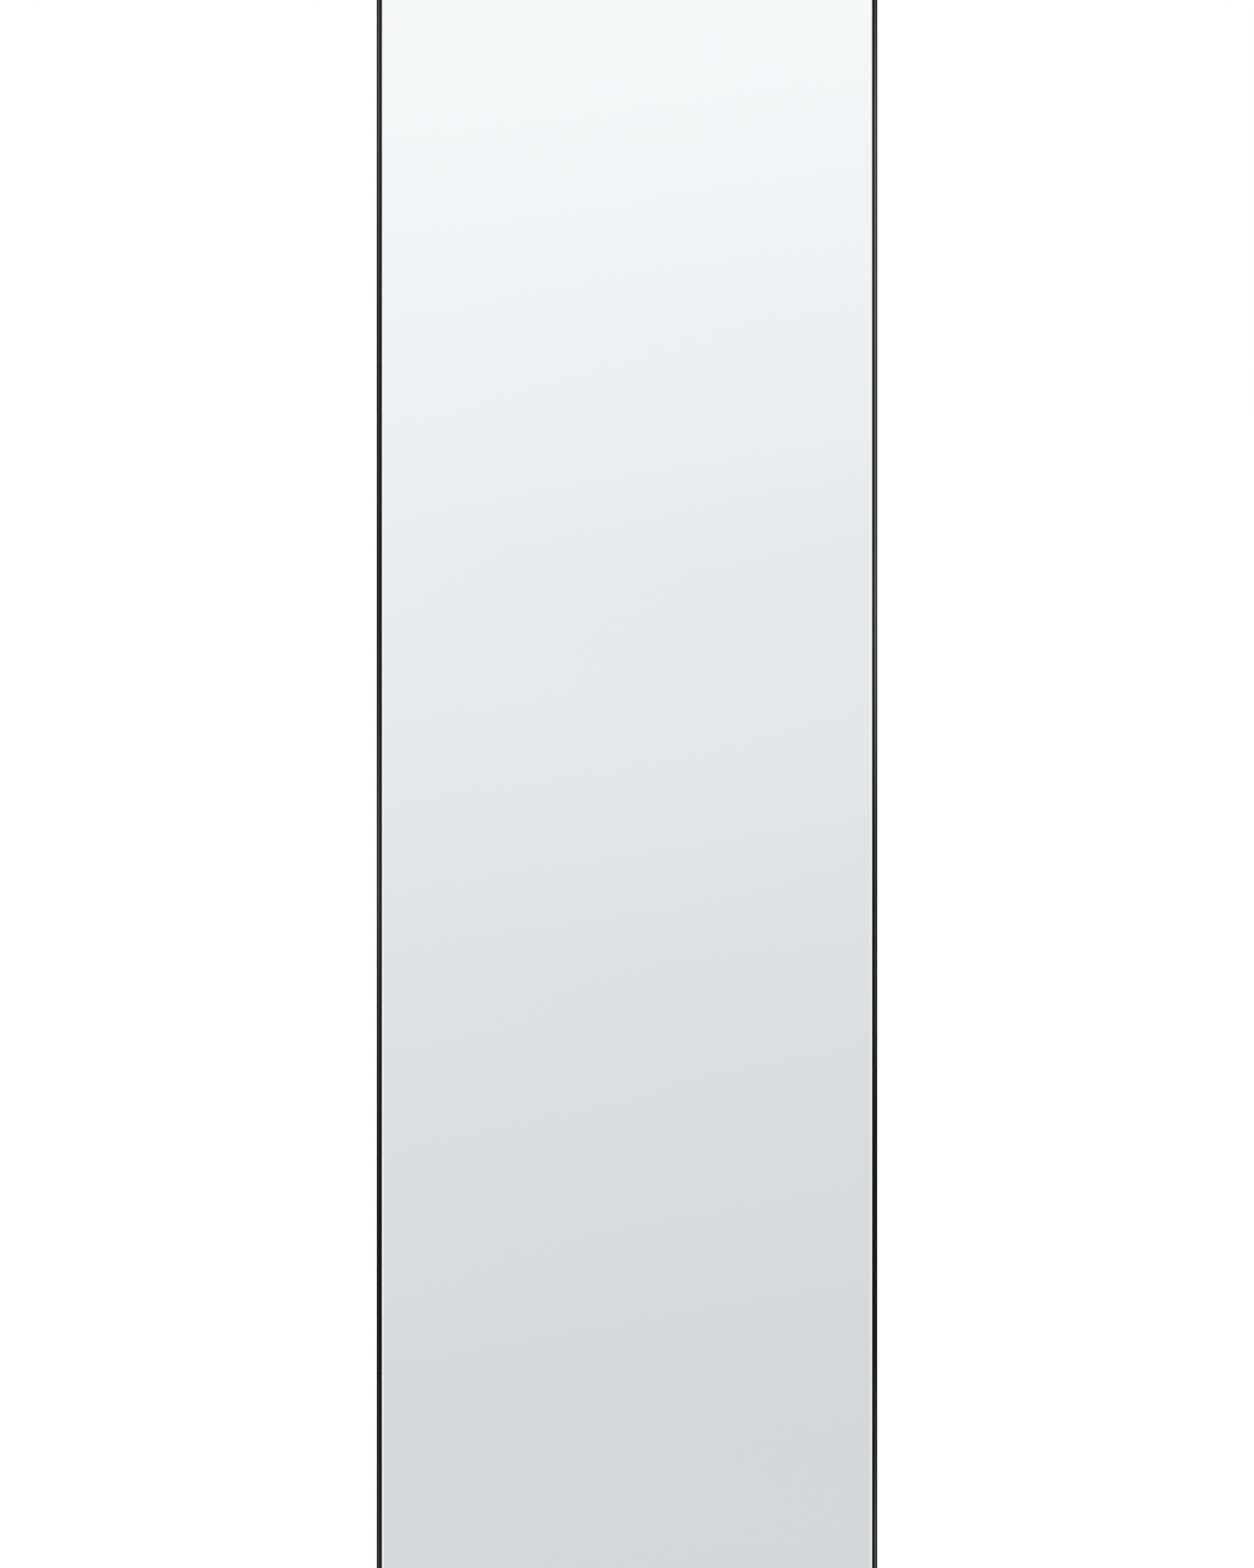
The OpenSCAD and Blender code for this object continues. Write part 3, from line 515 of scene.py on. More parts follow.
for side in ("left", "right"):
    easeEdges(side + "_stand_bracket", "stamped", "black_powder_coat", "mirror")
    easeEdges(side + "_hanger_plate", "stamped", "zinc_plated", "mirror")
    easeEdges(side + "_pivot_nut", "hexagon", "zinc_plated", "mirror")
    easeEdges(side + "_foot_pad", "moulded", "black_rubber", "mirror")
    easeEdges(side + "_stand_eye", "cast", "black_powder_coat", "stand")
    for end in ("top", "bottom"):
        easeEdges("corner_angle_" + end + "_" + side, "stamped", "zinc_plated", "mirror")
print("edges eased")


# Turned pieces: one seed of each, shaped and copied to its places by a tree

turning = {
    "crisp": 32,  # edges that turn by more degrees stay sharp
    "spin": math.tau, "spinSeed": 7,  # how far round its own axis a copy may be turned, and the turns' seed
}


def turnedSeed(section, around):
    # a section of (radius, height) points in millimetres, turned about Z
    turns = [math.tau * i / around for i in range(around)]
    bm = bmesh.new()
    rings = []
    for radius, height in section:
        if radius < weldGap / mm:
            ring = [(0, 0, height * mm)]
        else:
            ring = [(radius * mm * math.cos(t), radius * mm * math.sin(t), height * mm) for t in turns]
        rings.append([bm.verts.new(place) for place in ring])
    bored = len(rings[0]) > 1  # a section that stays off the axis closes on itself
    for low, high in zip(rings, rings[1:] + rings[:1] if bored else rings[1:]):
        for i in range(around):
            j = (i + 1) % around
            corners = [low[i % len(low)], low[j % len(low)], high[j % len(high)], high[i % len(high)]]
            bm.faces.new(list(dict.fromkeys(corners)))
    return newObject("seed", meshFrom(bm, "seed"))


def placesMesh(name, places):
    # one vertex for each place, with its turn kept as an attribute
    mesh = bpy.data.meshes.new(name)
    mesh.from_pydata([place.to_translation() for place in places], [], [])
    turn = mesh.attributes.new("turn", "FLOAT_VECTOR", "POINT")
    for i, place in enumerate(places):
        turn.data[i].vector = place.to_euler()
    return mesh


def crossRecess(tree, given, shape):
    # a cross that narrows downwards, cut into the head from above
    size = addNode(tree, "ShaderNodeCombineXYZ", {
        0: given["Recess Across"], 1: given["Recess Wide"], 2: given["Recess Deep"]})
    bar = addNode(tree, "GeometryNodeMeshCube", {"Size": size})
    where = addNode(tree, "GeometryNodeInputPosition")
    height = addNode(tree, "ShaderNodeSeparateXYZ", {0: where}).outputs[2]
    up = addNode(tree, "ShaderNodeMath", {0: height, 1: given["Recess Deep"]}, operation="DIVIDE")
    share = addNode(tree, "ShaderNodeMath", {
        0: up, 1: given["Recess Taper"], 2: given["Recess Top"]}, operation="MULTIPLY_ADD")
    narrowing = addNode(tree, "ShaderNodeCombineXYZ", {0: share, 1: share, 2: 1.0})
    tapered = addNode(tree, "GeometryNodeSetPosition", {
        "Geometry": bar,
        "Position": addNode(tree, "ShaderNodeVectorMath", {0: where, 1: narrowing}, operation="MULTIPLY"),
    })
    lift = addNode(tree, "ShaderNodeCombineXYZ", {2: given["Recess At"]})
    arms = [
        addNode(tree, "GeometryNodeTransform", {
            "Geometry": tapered, "Rotation": (0, 0, turn), "Translation": lift})
        for turn in (0, math.pi / 2)
    ]
    cut = addNode(tree, "GeometryNodeMeshBoolean", {
        "Mesh 1": shape, "Mesh 2": arms[0]}, operation="DIFFERENCE")
    fillSockets(tree, cut, {"Mesh 2": arms[1]})
    return cut


def hexagonRecess(tree, given, shape):
    # a socket given by its size across the flats
    radius = addNode(tree, "ShaderNodeMath", {
        0: given["Recess Across"], 1: 2 * math.cos(math.pi / 6)}, operation="DIVIDE")
    key = addNode(tree, "GeometryNodeMeshCylinder", {
        "Vertices": 6, "Radius": radius, "Depth": given["Recess Deep"]})
    lift = addNode(tree, "ShaderNodeCombineXYZ", {2: given["Recess At"]})
    moved = addNode(tree, "GeometryNodeTransform", {"Geometry": key, "Translation": lift})
    return addNode(tree, "GeometryNodeMeshBoolean", {
        "Mesh 1": shape, "Mesh 2": moved}, operation="DIFFERENCE")


def carve(tree, shape, flat, depth, chosen):
    # moves the chosen vertices towards the axis; flat is their place with no height
    outwards = addNode(tree, "ShaderNodeVectorMath", {0: flat}, operation="NORMALIZE")
    offset = addNode(tree, "ShaderNodeVectorMath", {
        0: outwards, "Scale": addNode(tree, "ShaderNodeMath", {0: depth, 1: -1.0}, operation="MULTIPLY"),
    }, operation="SCALE")
    return addNode(tree, "GeometryNodeSetPosition", {
        "Geometry": shape, "Selection": chosen, "Offset": offset})


def threadTurns(tree, given, shape):
    # a single-start thread, cut where the height lies between its two ends
    parts = addNode(tree, "ShaderNodeSeparateXYZ", {0: addNode(tree, "GeometryNodeInputPosition")}).outputs
    flat = addNode(tree, "ShaderNodeCombineXYZ", {0: parts[0], 1: parts[1]})
    angle = addNode(tree, "ShaderNodeMath", {0: parts[1], 1: parts[0]}, operation="ARCTAN2")
    around = addNode(tree, "ShaderNodeMath", {0: angle, 1: math.tau}, operation="DIVIDE")
    up = addNode(tree, "ShaderNodeMath", {0: parts[2], 1: given["Thread Pitch"]}, operation="DIVIDE")
    turns = addNode(tree, "ShaderNodeMath", {0: up, 1: around}, operation="SUBTRACT")
    flank = addNode(tree, "ShaderNodeMath", {0: turns, 1: 0.5}, operation="PINGPONG")
    depth = addNode(tree, "ShaderNodeMapRange", {
        "Value": flank, "From Max": 0.5, "To Max": given["Thread Deep"]})
    above = addNode(tree, "ShaderNodeMath", {0: parts[2], 1: given["Thread From"]}, operation="GREATER_THAN")
    below = addNode(tree, "ShaderNodeMath", {0: parts[2], 1: given["Thread To"]}, operation="LESS_THAN")
    inside = addNode(tree, "ShaderNodeMath", {0: above, 1: below}, operation="MULTIPLY")
    return carve(tree, shape, flat, depth, inside)


def sleeveRibs(tree, given, shape):
    # grooves round the outer wall, eased into the ribs between them
    parts = addNode(tree, "ShaderNodeSeparateXYZ", {0: addNode(tree, "GeometryNodeInputPosition")}).outputs
    flat = addNode(tree, "ShaderNodeCombineXYZ", {0: parts[0], 1: parts[1]})
    up = addNode(tree, "ShaderNodeMath", {0: parts[2], 1: given["Rib Pitch"]}, operation="DIVIDE")
    wave = addNode(tree, "ShaderNodeMath", {0: up, 1: 0.5}, operation="PINGPONG")
    fromCrest = addNode(tree, "ShaderNodeMath", {0: wave, 1: -2.0, 2: 1.0}, operation="MULTIPLY_ADD")
    crestEnd = addNode(tree, "ShaderNodeMath", {
        0: given["Rib Share"], 1: given["Crest Ease"]}, operation="SUBTRACT")
    floorFrom = addNode(tree, "ShaderNodeMath", {
        0: given["Rib Share"], 1: given["Floor Ease"]}, operation="ADD")
    groove = addNode(tree, "ShaderNodeMapRange", {
        "Value": fromCrest, "From Min": crestEnd, "From Max": floorFrom, "To Max": given["Groove Deep"],
    }, interpolation_type="SMOOTHSTEP")
    radius = addNode(tree, "ShaderNodeVectorMath", {0: flat}, operation="LENGTH").outputs["Value"]
    outer = addNode(tree, "ShaderNodeMath", {0: radius, 1: given["Outer Wall"]}, operation="GREATER_THAN")
    return carve(tree, shape, flat, groove, outer)


def newTree(name, inputs):
    # inputs name each socket with its kind
    tree = bpy.data.node_groups.new(name, "GeometryNodeTree")
    for label, kind in inputs.items():
        tree.interface.new_socket(label, in_out="INPUT", socket_type="NodeSocket" + kind)
    tree.interface.new_socket("Shape", in_out="OUTPUT", socket_type="NodeSocketGeometry")
    return tree, addNode(tree, "NodeGroupInput").outputs


def endTree(tree, shape, finish):
    real = addNode(tree, "GeometryNodeRealizeInstances", {"Geometry": shape})
    finished = addNode(tree, "GeometryNodeSetMaterial", {"Geometry": real, "Material": finish})
    addNode(tree, "NodeGroupOutput", {0: finished})


def copiesTree(name, inputs, *shapings):
    # shapes one seed, puts a copy of it on every place and gives it its finish
    tree, given = newTree(name, {
        "Places": "Geometry", "Seed Piece": "Object", **dict.fromkeys(inputs, "Float"),
        "Crisp": "Float", "Spin Seed": "Int", "Spin": "Float", "Finish": "Material",
    })
    shape = addNode(tree, "GeometryNodeObjectInfo", {"Object": given["Seed Piece"]}).outputs["Geometry"]
    for shaping in shapings:
        shape = shaping(tree, given, shape)
    smooth = addNode(tree, "GeometryNodeSetShadeSmooth", {"Geometry": shape})
    angle = addNode(tree, "GeometryNodeInputMeshEdgeAngle").outputs["Unsigned Angle"]
    crisp = addNode(tree, "ShaderNodeMath", {0: angle, 1: given["Crisp"]}, operation="GREATER_THAN")
    sharp = addNode(tree, "GeometryNodeSetShadeSmooth", {
        "Geometry": smooth, "Selection": crisp, "Shade Smooth": False}, domain="EDGE")
    turn = addNode(tree, "GeometryNodeInputNamedAttribute", {"Name": "turn"}, data_type="FLOAT_VECTOR")
    aim = addNode(tree, "FunctionNodeEulerToRotation", {0: turn})
    angleRound = addNode(tree, "FunctionNodeRandomValue", {
        2: 0.0, 3: given["Spin"], "Seed": given["Spin Seed"]}, data_type="FLOAT").outputs[1]
    spin = addNode(tree, "FunctionNodeAxisAngleToRotation", {"Axis": (0, 0, 1), "Angle": angleRound})
    turned = addNode(tree, "FunctionNodeRotateRotation", {0: aim, 1: spin}, rotation_space="LOCAL")
    copies = addNode(tree, "GeometryNodeInstanceOnPoints", {
        "Points": given["Places"], "Instance": sharp, "Rotation": turned})
    endTree(tree, copies, given["Finish"])
    return tree


def grow(piece, tree, values):
    modifier = piece.modifiers.new(tree.name, "NODES")
    modifier.node_group = tree
    for socket in tree.interface.items_tree:
        if socket.in_out == "INPUT" and socket.name in values:
            modifier[socket.identifier] = values[socket.name]
    plainMesh(piece)


def plantCopies(node, kind, body, slotName, section, around, places, tree, inputs=None):
    name = node + "_" + kind
    piece = newObject(name, placesMesh(name, places))
    seed = turnedSeed(section, around)
    grow(piece, tree, {
        "Seed Piece": seed, "Finish": finishes[slotName], "Crisp": math.radians(turning["crisp"]),
        "Spin": turning["spin"], "Spin Seed": turning["spinSeed"], **(inputs or {}),
    })
    bpy.data.objects.remove(seed)
    settle(piece, slotName, body, node)


towardsRear = Matrix.Rotation(-math.pi / 2, 4, "X")  # a piece's own Z turned to the place's back direction
towardsRight = Matrix.Rotation(math.pi / 2, 4, "Y")


def placesOf(node, axes, turn, originOf):
    # originOf works a place's origin out from a solid's lowest and highest corner
    return [axes @ Matrix.Translation(originOf(low, high)) @ turn for low, high in solidBoxes(node, axes)]


def onSeat(tall):
    # the middle of the piece, that far below its highest point
    return lambda low, high: Vector(((low.x + high.x) / 2, high.y - tall * mm, (low.z + high.z) / 2))


def headDome(part):
    # from the top of a head's straight side up over its dome; domeFlat under 1 squares its shoulder
    turns = [math.radians(a) for a in range(0, part["domeEnd"], part["domeStep"])]
    side, rise = part["sideShare"] * part["headTall"], (1 - part["sideShare"]) * part["headTall"]
    return [(part["head"] * math.cos(t) ** part["domeFlat"], side + rise * math.sin(t)) for t in turns]


plainTree = copiesTree("turnedCopies", {})  # for pieces that need no more shaping


# Pan-head screws of the brackets and hangers

panScrew = {
    "shank": 2, "long": 8, "tip": 0.4, "rim": 0.15,  # radii, lengths and chamfers in millimetres
    "head": 4, "headTall": 2.4, "sideShare": 0.3, "domeFlat": 0.55, "domeEnd": 90, "domeStep": 9,
    "recess": 4.4, "recessWide": 1.1, "recessDeep": 1.7,
    "recessTop": 0.85, "recessTaper": 0.7,  # its share at the head's top, and what goes over twice its depth
    "around": 40,
}


def panSection():
    shank, long, tip = panScrew["shank"], panScrew["long"], panScrew["tip"]
    return [
        (0, -long), (shank - tip, -long), (shank, tip - long), (shank, 0),
        (panScrew["head"] - panScrew["rim"], 0), (panScrew["head"], panScrew["rim"]),
        *headDome(panScrew), (0, panScrew["headTall"]),
    ]


panInputs = {
    "Recess Across": panScrew["recess"] * mm, "Recess Wide": panScrew["recessWide"] * mm,
    "Recess Deep": 2 * panScrew["recessDeep"] * mm, "Recess At": panScrew["headTall"] * mm,
    "Recess Top": panScrew["recessTop"], "Recess Taper": panScrew["recessTaper"],
}
panTree = copiesTree("panHeadScrews", panInputs, crossRecess)
for node in ("bracket_screws", "hanger_screws"):
    plantCopies(
        node, "turned", "mirror", "zinc_plated", panSection(), panScrew["around"],
        placesOf(node, leaning, towardsRear, onSeat(panScrew["headTall"])), panTree, panInputs)


# Set screws of the corner angles

grub = {"radius": 2, "chamfer": 0.35, "socket": 2, "socketDeep": 1.8, "around": 32}  # in millimetres


def grubSection(long):
    radius, chamfer = grub["radius"], grub["chamfer"]
    return [
        (0, -long), (radius - chamfer, -long), (radius, chamfer - long),
        (radius, -chamfer), (radius - chamfer, 0), (0, 0),
    ]


grubInputs = {
    "Recess Across": grub["socket"] * mm, "Recess Deep": 2 * grub["socketDeep"] * mm, "Recess At": 0.0,
}
grubLow, grubHigh = solidBoxes("corner_set_screws", leaning)[0]
plantCopies(
    "corner_set_screws", "turned", "mirror", "black_oxide",
    grubSection((grubHigh.y - grubLow.y) / mm), grub["around"],
    placesOf("corner_set_screws", leaning, towardsRear, onSeat(0)),
    copiesTree("grubScrews", grubInputs, hexagonRecess), grubInputs)


# Rivets that hold the eyes on the tube

rivet = {
    "shank": 1.45, "head": 2.6, "headTall": 0.8,  # in millimetres
    "sideShare": 0, "domeFlat": 1, "domeEnd": 90, "domeStep": 15, "around": 32,
}


def rivetSection(halfLong):
    dome = headDome(rivet)
    under = halfLong - rivet["headTall"]
    return [
        (0, -halfLong), *[(radius, -under - height) for radius, height in reversed(dome)],
        (rivet["shank"], -under), (rivet["shank"], under),
        *[(radius, under + height) for radius, height in dome], (0, halfLong),
    ]


rivetLow, rivetHigh = solidBoxes("stand_eye_rivets", standing)[0]
plantCopies(
    "stand_eye_rivets", "turned", "stand", "zinc_plated",
    rivetSection((rivetHigh.x - rivetLow.x) / 2 / mm), rivet["around"],
    placesOf("stand_eye_rivets", standing, towardsRight, lambda low, high: (low + high) / 2), plainTree)


# Rubber bumpers, for the wall and the folded stand

bumper = {  # in millimetres
    "land": 1.3, "stem": 3, "stemLong": 2, "chamfer": 0.3, "domeSteps": 10, "around": 48,
}


def bumperSection(radius, tall):
    # a stem, a straight side as tall as the land, then a dome up to the axis
    stem, stemLong, chamfer = bumper["stem"], bumper["stemLong"], bumper["chamfer"]
    rise = tall - bumper["land"]
    domeRadius = (radius ** 2 + rise ** 2) / (2 * rise)
    over = math.degrees(math.asin(radius / domeRadius))
    dome = arc((0, tall - domeRadius), domeRadius, 90 - over, 90, bumper["domeSteps"])
    return [
        (0, -stemLong), (stem - chamfer, -stemLong), (stem, chamfer - stemLong), (stem, 0),
        (radius, 0), *dome[:-1], (0, tall),
    ]


bumperLow, bumperHigh = solidBoxes("wall_bumpers", leaning)[0]
bumperRadius = (bumperHigh.x - bumperLow.x) / 2 / mm
bumperTall = (bumperHigh.y - bumperLow.y) / mm - bumper["stemLong"]
plantCopies(
    "wall_bumpers", "moulded", "mirror", "black_rubber",
    bumperSection(bumperRadius, bumperTall), bumper["around"],
    placesOf("wall_bumpers", leaning, towardsRear, onSeat(bumperTall)), plainTree)


# Pivot bolts

bolt = {
    "shank": 3, "tip": 0.6, "seat": 0.1, "rim": 0.4,  # in millimetres
    "head": 5, "headTall": 2.8, "sideShare": 0.12, "domeFlat": 0.7, "domeEnd": 72, "domeStep": 8,
    "socket": 4, "socketDeep": 2,
    "thread": 7.5, "threadEnd": 0.35, "pitch": 1.0, "threadDeep": 0.55,
    "ringStep": 0.1, "tipRings": 3,  # rings close enough to take the thread, and those that the tip takes up
    "around": 48,
}


def boltSection(shankLong):
    dome = headDome(bolt)
    rings = range(bolt["tipRings"], int(bolt["thread"] / bolt["ringStep"]))
    return [
        (0, -shankLong), (bolt["shank"] - bolt["tip"], -shankLong),
        *[(bolt["shank"], i * bolt["ringStep"] - shankLong) for i in rings],
        (bolt["shank"], 0), (bolt["head"] - bolt["seat"], 0),
        *dome, (dome[-1][0] - bolt["rim"], bolt["headTall"]), (0, bolt["headTall"]),
    ]


boltLow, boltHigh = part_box("left_pivot_bolt")
shankLong = (boltHigh.x - boltLow.x) / mm - bolt["headTall"]
boltInputs = {
    "Recess Across": bolt["socket"] * mm, "Recess Deep": 2 * bolt["socketDeep"] * mm,
    "Recess At": bolt["headTall"] * mm,
    "Thread Pitch": bolt["pitch"] * mm, "Thread Deep": bolt["threadDeep"] * mm,
    "Thread From": (bolt["threadEnd"] - shankLong) * mm, "Thread To": (bolt["thread"] - shankLong) * mm,
}
boltTree = copiesTree("socketBolts", boltInputs, threadTurns, hexagonRecess)
for side, turn in (("left", 1), ("right", -1)):
    node = side + "_pivot_bolt"
    boltLow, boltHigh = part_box(node)
    headAt = boltLow.x + bolt["headTall"] * mm if turn > 0 else boltHigh.x - bolt["headTall"] * mm
    place = Matrix.Translation((headAt, pivot.y, pivot.z)) @ Matrix.Rotation(-turn * math.pi / 2, 4, "Y")
    plantCopies(
        node, "turned", "mirror", "black_oxide", boltSection(shankLong), bolt["around"],
        [place], boltTree, boltInputs)
print("screws, rivets, bumpers and bolts copied to their places")


# Ribbed sleeves that the stand's foot rests on

sleeve = {
    "bore": 5.05, "groove": 0.75, "endRound": 0.8, "endSteps": 5,  # in millimetres
    "ribs": 9, "ribShare": 0.6, "crestEase": 0.22, "floorEase": 0.12,  # shares of half a rib's pitch
    "ringStep": 0.25,  # rings of the outer wall, close enough to take the ribs
    "wallMargin": 0.4,  # what lies deeper than this isn't the outer wall
    "around": 64,
}


def sleeveSection(long, outer):
    end, steps = sleeve["endRound"], sleeve["endSteps"]
    rings = int(long / sleeve["ringStep"])
    heights = [long * i / rings for i in range(rings + 1)]
    return [
        (sleeve["bore"], 0), (outer - end, 0),
        *arc((outer - end, end), end, 270, 360, steps)[1:],
        *[(outer, height) for height in heights if end < height < long - end],
        *arc((outer - end, long - end), end, 0, 90, steps)[:-1],
        (outer - end, long), (sleeve["bore"], long),
    ]


sleeveLong = (sleeveHigh.x - sleeveLow.x) / mm
sleeveRadius = (sleeveHigh.z - sleeveLow.z) / 2 / mm
sleeveInputs = {
    "Rib Pitch": sleeveLong / sleeve["ribs"] * mm, "Groove Deep": sleeve["groove"] * mm,
    "Outer Wall": (sleeveRadius - sleeve["wallMargin"]) * mm, "Rib Share": sleeve["ribShare"],
    "Crest Ease": sleeve["crestEase"], "Floor Ease": sleeve["floorEase"],
}
sleeveTree = copiesTree("ribbedSleeves", sleeveInputs, sleeveRibs)
for side in ("left", "right"):
    node = side + "_stand_sleeve"
    place = Matrix.Translation((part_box(node)[0].x, footCentre.y, footCentre.z)) @ towardsRight
    plantCopies(
        node, "ribbed", "stand", "black_rubber", sleeveSection(sleeveLong, sleeveRadius), sleeve["around"],
        [place], sleeveTree, sleeveInputs)


# Stand: the bent tube, swept along its path

tube = {"radius": 5, "bend": 34, "bendSteps": 28, "around": 48, "crisp": 50}  # millimetres, then degrees


def sweepTree():
    tree, given = newTree("tubeSweep", {
        "Path": "Geometry", "Tube Radius": "Float", "Around": "Int", "Finish": "Material"})
    path = addNode(tree, "GeometryNodeMeshToCurve", {0: given["Path"]})
    ring = addNode(tree, "GeometryNodeCurvePrimitiveCircle", {
        "Resolution": given["Around"], "Radius": given["Tube Radius"]})
    swept = addNode(tree, "GeometryNodeCurveToMesh", {
        "Curve": path, "Profile Curve": ring, "Fill Caps": True})
    smooth = addNode(tree, "GeometryNodeSetShadeSmooth", {"Geometry": swept})
    endTree(tree, smooth, given["Finish"])
    return tree


def tubePath():
    # down one leg, round two bends and up the other, in the stand's own axes
    low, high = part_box("stand_tube")
    legX = (high.x - low.x) / 2 - tube["radius"] * mm
    top = spanAlong("stand_tube", legUp)[1] - pivot.dot(legUp)
    bend = tube["bend"] * mm
    turns = [math.pi / 2 * i / tube["bendSteps"] for i in range(tube["bendSteps"] + 1)]
    bendX, bendZ = legX - bend, bend - legLong
    right = [Vector((legX, 0, top))]
    right += [Vector((bendX + bend * math.cos(a), 0, bendZ - bend * math.sin(a))) for a in turns]
    left = [Vector((-p.x, 0, p.z)) for p in reversed(right)]
    return [standing @ p for p in right + left]


path = tubePath()
pathMesh = bpy.data.meshes.new("stand_tube_bent")
pathMesh.from_pydata(path, [(i, i + 1) for i in range(len(path) - 1)], [])
bentTube = newObject("stand_tube_bent", pathMesh)
grow(bentTube, sweepTree(), {
    "Tube Radius": tube["radius"] * mm, "Around": tube["around"], "Finish": finishes["black_powder_coat"],
})
tubeShape = bmesh.new()
tubeShape.from_mesh(bentTube.data)
bentTube.data = meshFrom(tubeShape, "stand_tube_bent", tube["crisp"])
settle(bentTube, "black_powder_coat", "stand", "stand_tube")
print("stand swept and sleeved")


# Studio: a pale floor, soft lamps, and what the mirror sees

studio = {
    "floorRadius": 9.0, "floorAround": 96, "floorTone": "#f2f2f0",
    "floorShade": 0.5,  # how strongly the floor shows its shadows
    "glowNear": 0.5, "glowFar": 0.81,  # how strongly the camera sees it glow
    "glowFrom": 1.5, "glowTo": 6.5,  # the metres from its middle over which that grows
    "glassFloor": "#c7cacb", "glassShare": 0.75,  # the grey that the glass sees in its place, and its share
    "fill": 0.5,  # the world's light on matt surfaces
    "skyLow": 0.04, "skyHigh": 0.345,  # where the sky that the glass sees pales, as it rises
    "skyTilt": 0.042, "skyReach": 0.3,  # it pales a little lower on the left
    "skyDark": "#d9dbdc", "skyLight": "#ffffff",  # its cool low end and its white top
    "streak": 0.011, "streakTurn": 35, "streakScale": (2.5, 2.5, 22),  # faint slanting unevenness in it
    "boxNear": 19, "boxFar": 25, "boxEnd": 31, "boxGone": 36,  # tall softboxes, in degrees to either side
    "boxFoot": 0.025,  # the rise over which they fade in above the horizon
}


def makeWorld():
    world = bpy.data.worlds.new("studio")
    bpy.context.scene.world = world
    world.use_nodes = True
    tree = world.node_tree
    tree.nodes.clear()
    direction = addNode(tree, "ShaderNodeTexCoord").outputs["Generated"]
    parts = addNode(tree, "ShaderNodeSeparateXYZ", {0: direction}).outputs

    # the sky: it pales upwards, a little lower on the left, with faint streaks
    tilt = addNode(tree, "ShaderNodeMapRange", {
        "Value": parts[0], "From Min": -studio["skyReach"], "From Max": studio["skyReach"],
        "To Min": studio["skyTilt"], "To Max": -studio["skyTilt"],
    }, interpolation_type="SMOOTHSTEP")
    rise = addNode(tree, "ShaderNodeMath", {0: parts[2], 1: tilt}, operation="ADD")
    slant = addNode(tree, "ShaderNodeMapping", {
        "Vector": direction, "Rotation": (0, math.radians(studio["streakTurn"]), 0),
        "Scale": studio["streakScale"],
    })
    streaks = addNode(tree, "ShaderNodeTexNoise", {"Vector": slant, "Scale": 1.0})
    uneven = addNode(tree, "ShaderNodeMapRange", {
        "Value": streaks, "From Min": 0.3, "From Max": 0.7,
        "To Min": -studio["streak"], "To Max": studio["streak"],
    })
    paling = addNode(tree, "ShaderNodeMapRange", {
        "Value": addNode(tree, "ShaderNodeMath", {0: uneven, 1: rise}, operation="ADD"),
        "From Min": studio["skyLow"], "From Max": studio["skyHigh"],
    }, interpolation_type="SMOOTHSTEP")
    sky = addNode(tree, "ShaderNodeMix", {
        "Factor": paling, 6: linear(studio["skyDark"]), 7: linear(studio["skyLight"]),
    }, data_type="RGBA").outputs[2]

    # two tall softboxes, which the bevels of the glass and the crowned rails pick up
    sideways = addNode(tree, "ShaderNodeMath", {0: parts[0]}, operation="ABSOLUTE")
    forwards = addNode(tree, "ShaderNodeMath", {0: parts[1], 1: -1.0}, operation="MULTIPLY")
    turned = addNode(tree, "ShaderNodeMath", {0: sideways, 1: forwards}, operation="ARCTAN2")
    edges = [
        addNode(tree, "ShaderNodeMapRange", {
            "Value": turned, "From Min": math.radians(low), "From Max": math.radians(high),
        }, interpolation_type="SMOOTHSTEP")
        for low, high in ((studio["boxNear"], studio["boxFar"]), (studio["boxEnd"], studio["boxGone"]))
    ]
    between = addNode(tree, "ShaderNodeMath", {0: edges[0], 1: edges[1]}, operation="SUBTRACT")
    above = addNode(tree, "ShaderNodeMapRange", {
        "Value": parts[2], "From Min": 0.0, "From Max": studio["boxFoot"]}, interpolation_type="SMOOTHSTEP")
    seen = addNode(tree, "ShaderNodeMix", {
        "Factor": addNode(tree, "ShaderNodeMath", {0: between, 1: above}, operation="MULTIPLY"),
        6: sky, 7: linear("#ffffff"),
    }, data_type="RGBA").outputs[2]

    # the camera sees plain white, shiny surfaces see the sky, and matt ones are lit evenly
    ray = addNode(tree, "ShaderNodeLightPath").outputs
    shiny = addNode(tree, "ShaderNodeMath", {
        0: ray["Is Glossy Ray"], 1: ray["Is Transmission Ray"]}, operation="MAXIMUM")
    fill = addNode(tree, "ShaderNodeBackground", {"Color": linear("#ffffff"), "Strength": studio["fill"]})
    glossy = addNode(tree, "ShaderNodeBackground", {"Color": seen, "Strength": 1.0})
    white = addNode(tree, "ShaderNodeBackground", {"Color": linear("#ffffff"), "Strength": 1.0})
    lit = addNode(tree, "ShaderNodeMixShader", {0: shiny, 1: fill, 2: glossy})
    whole = addNode(tree, "ShaderNodeMixShader", {0: ray["Is Camera Ray"], 1: lit, 2: white})
    addNode(tree, "ShaderNodeOutputWorld", {"Surface": whole})


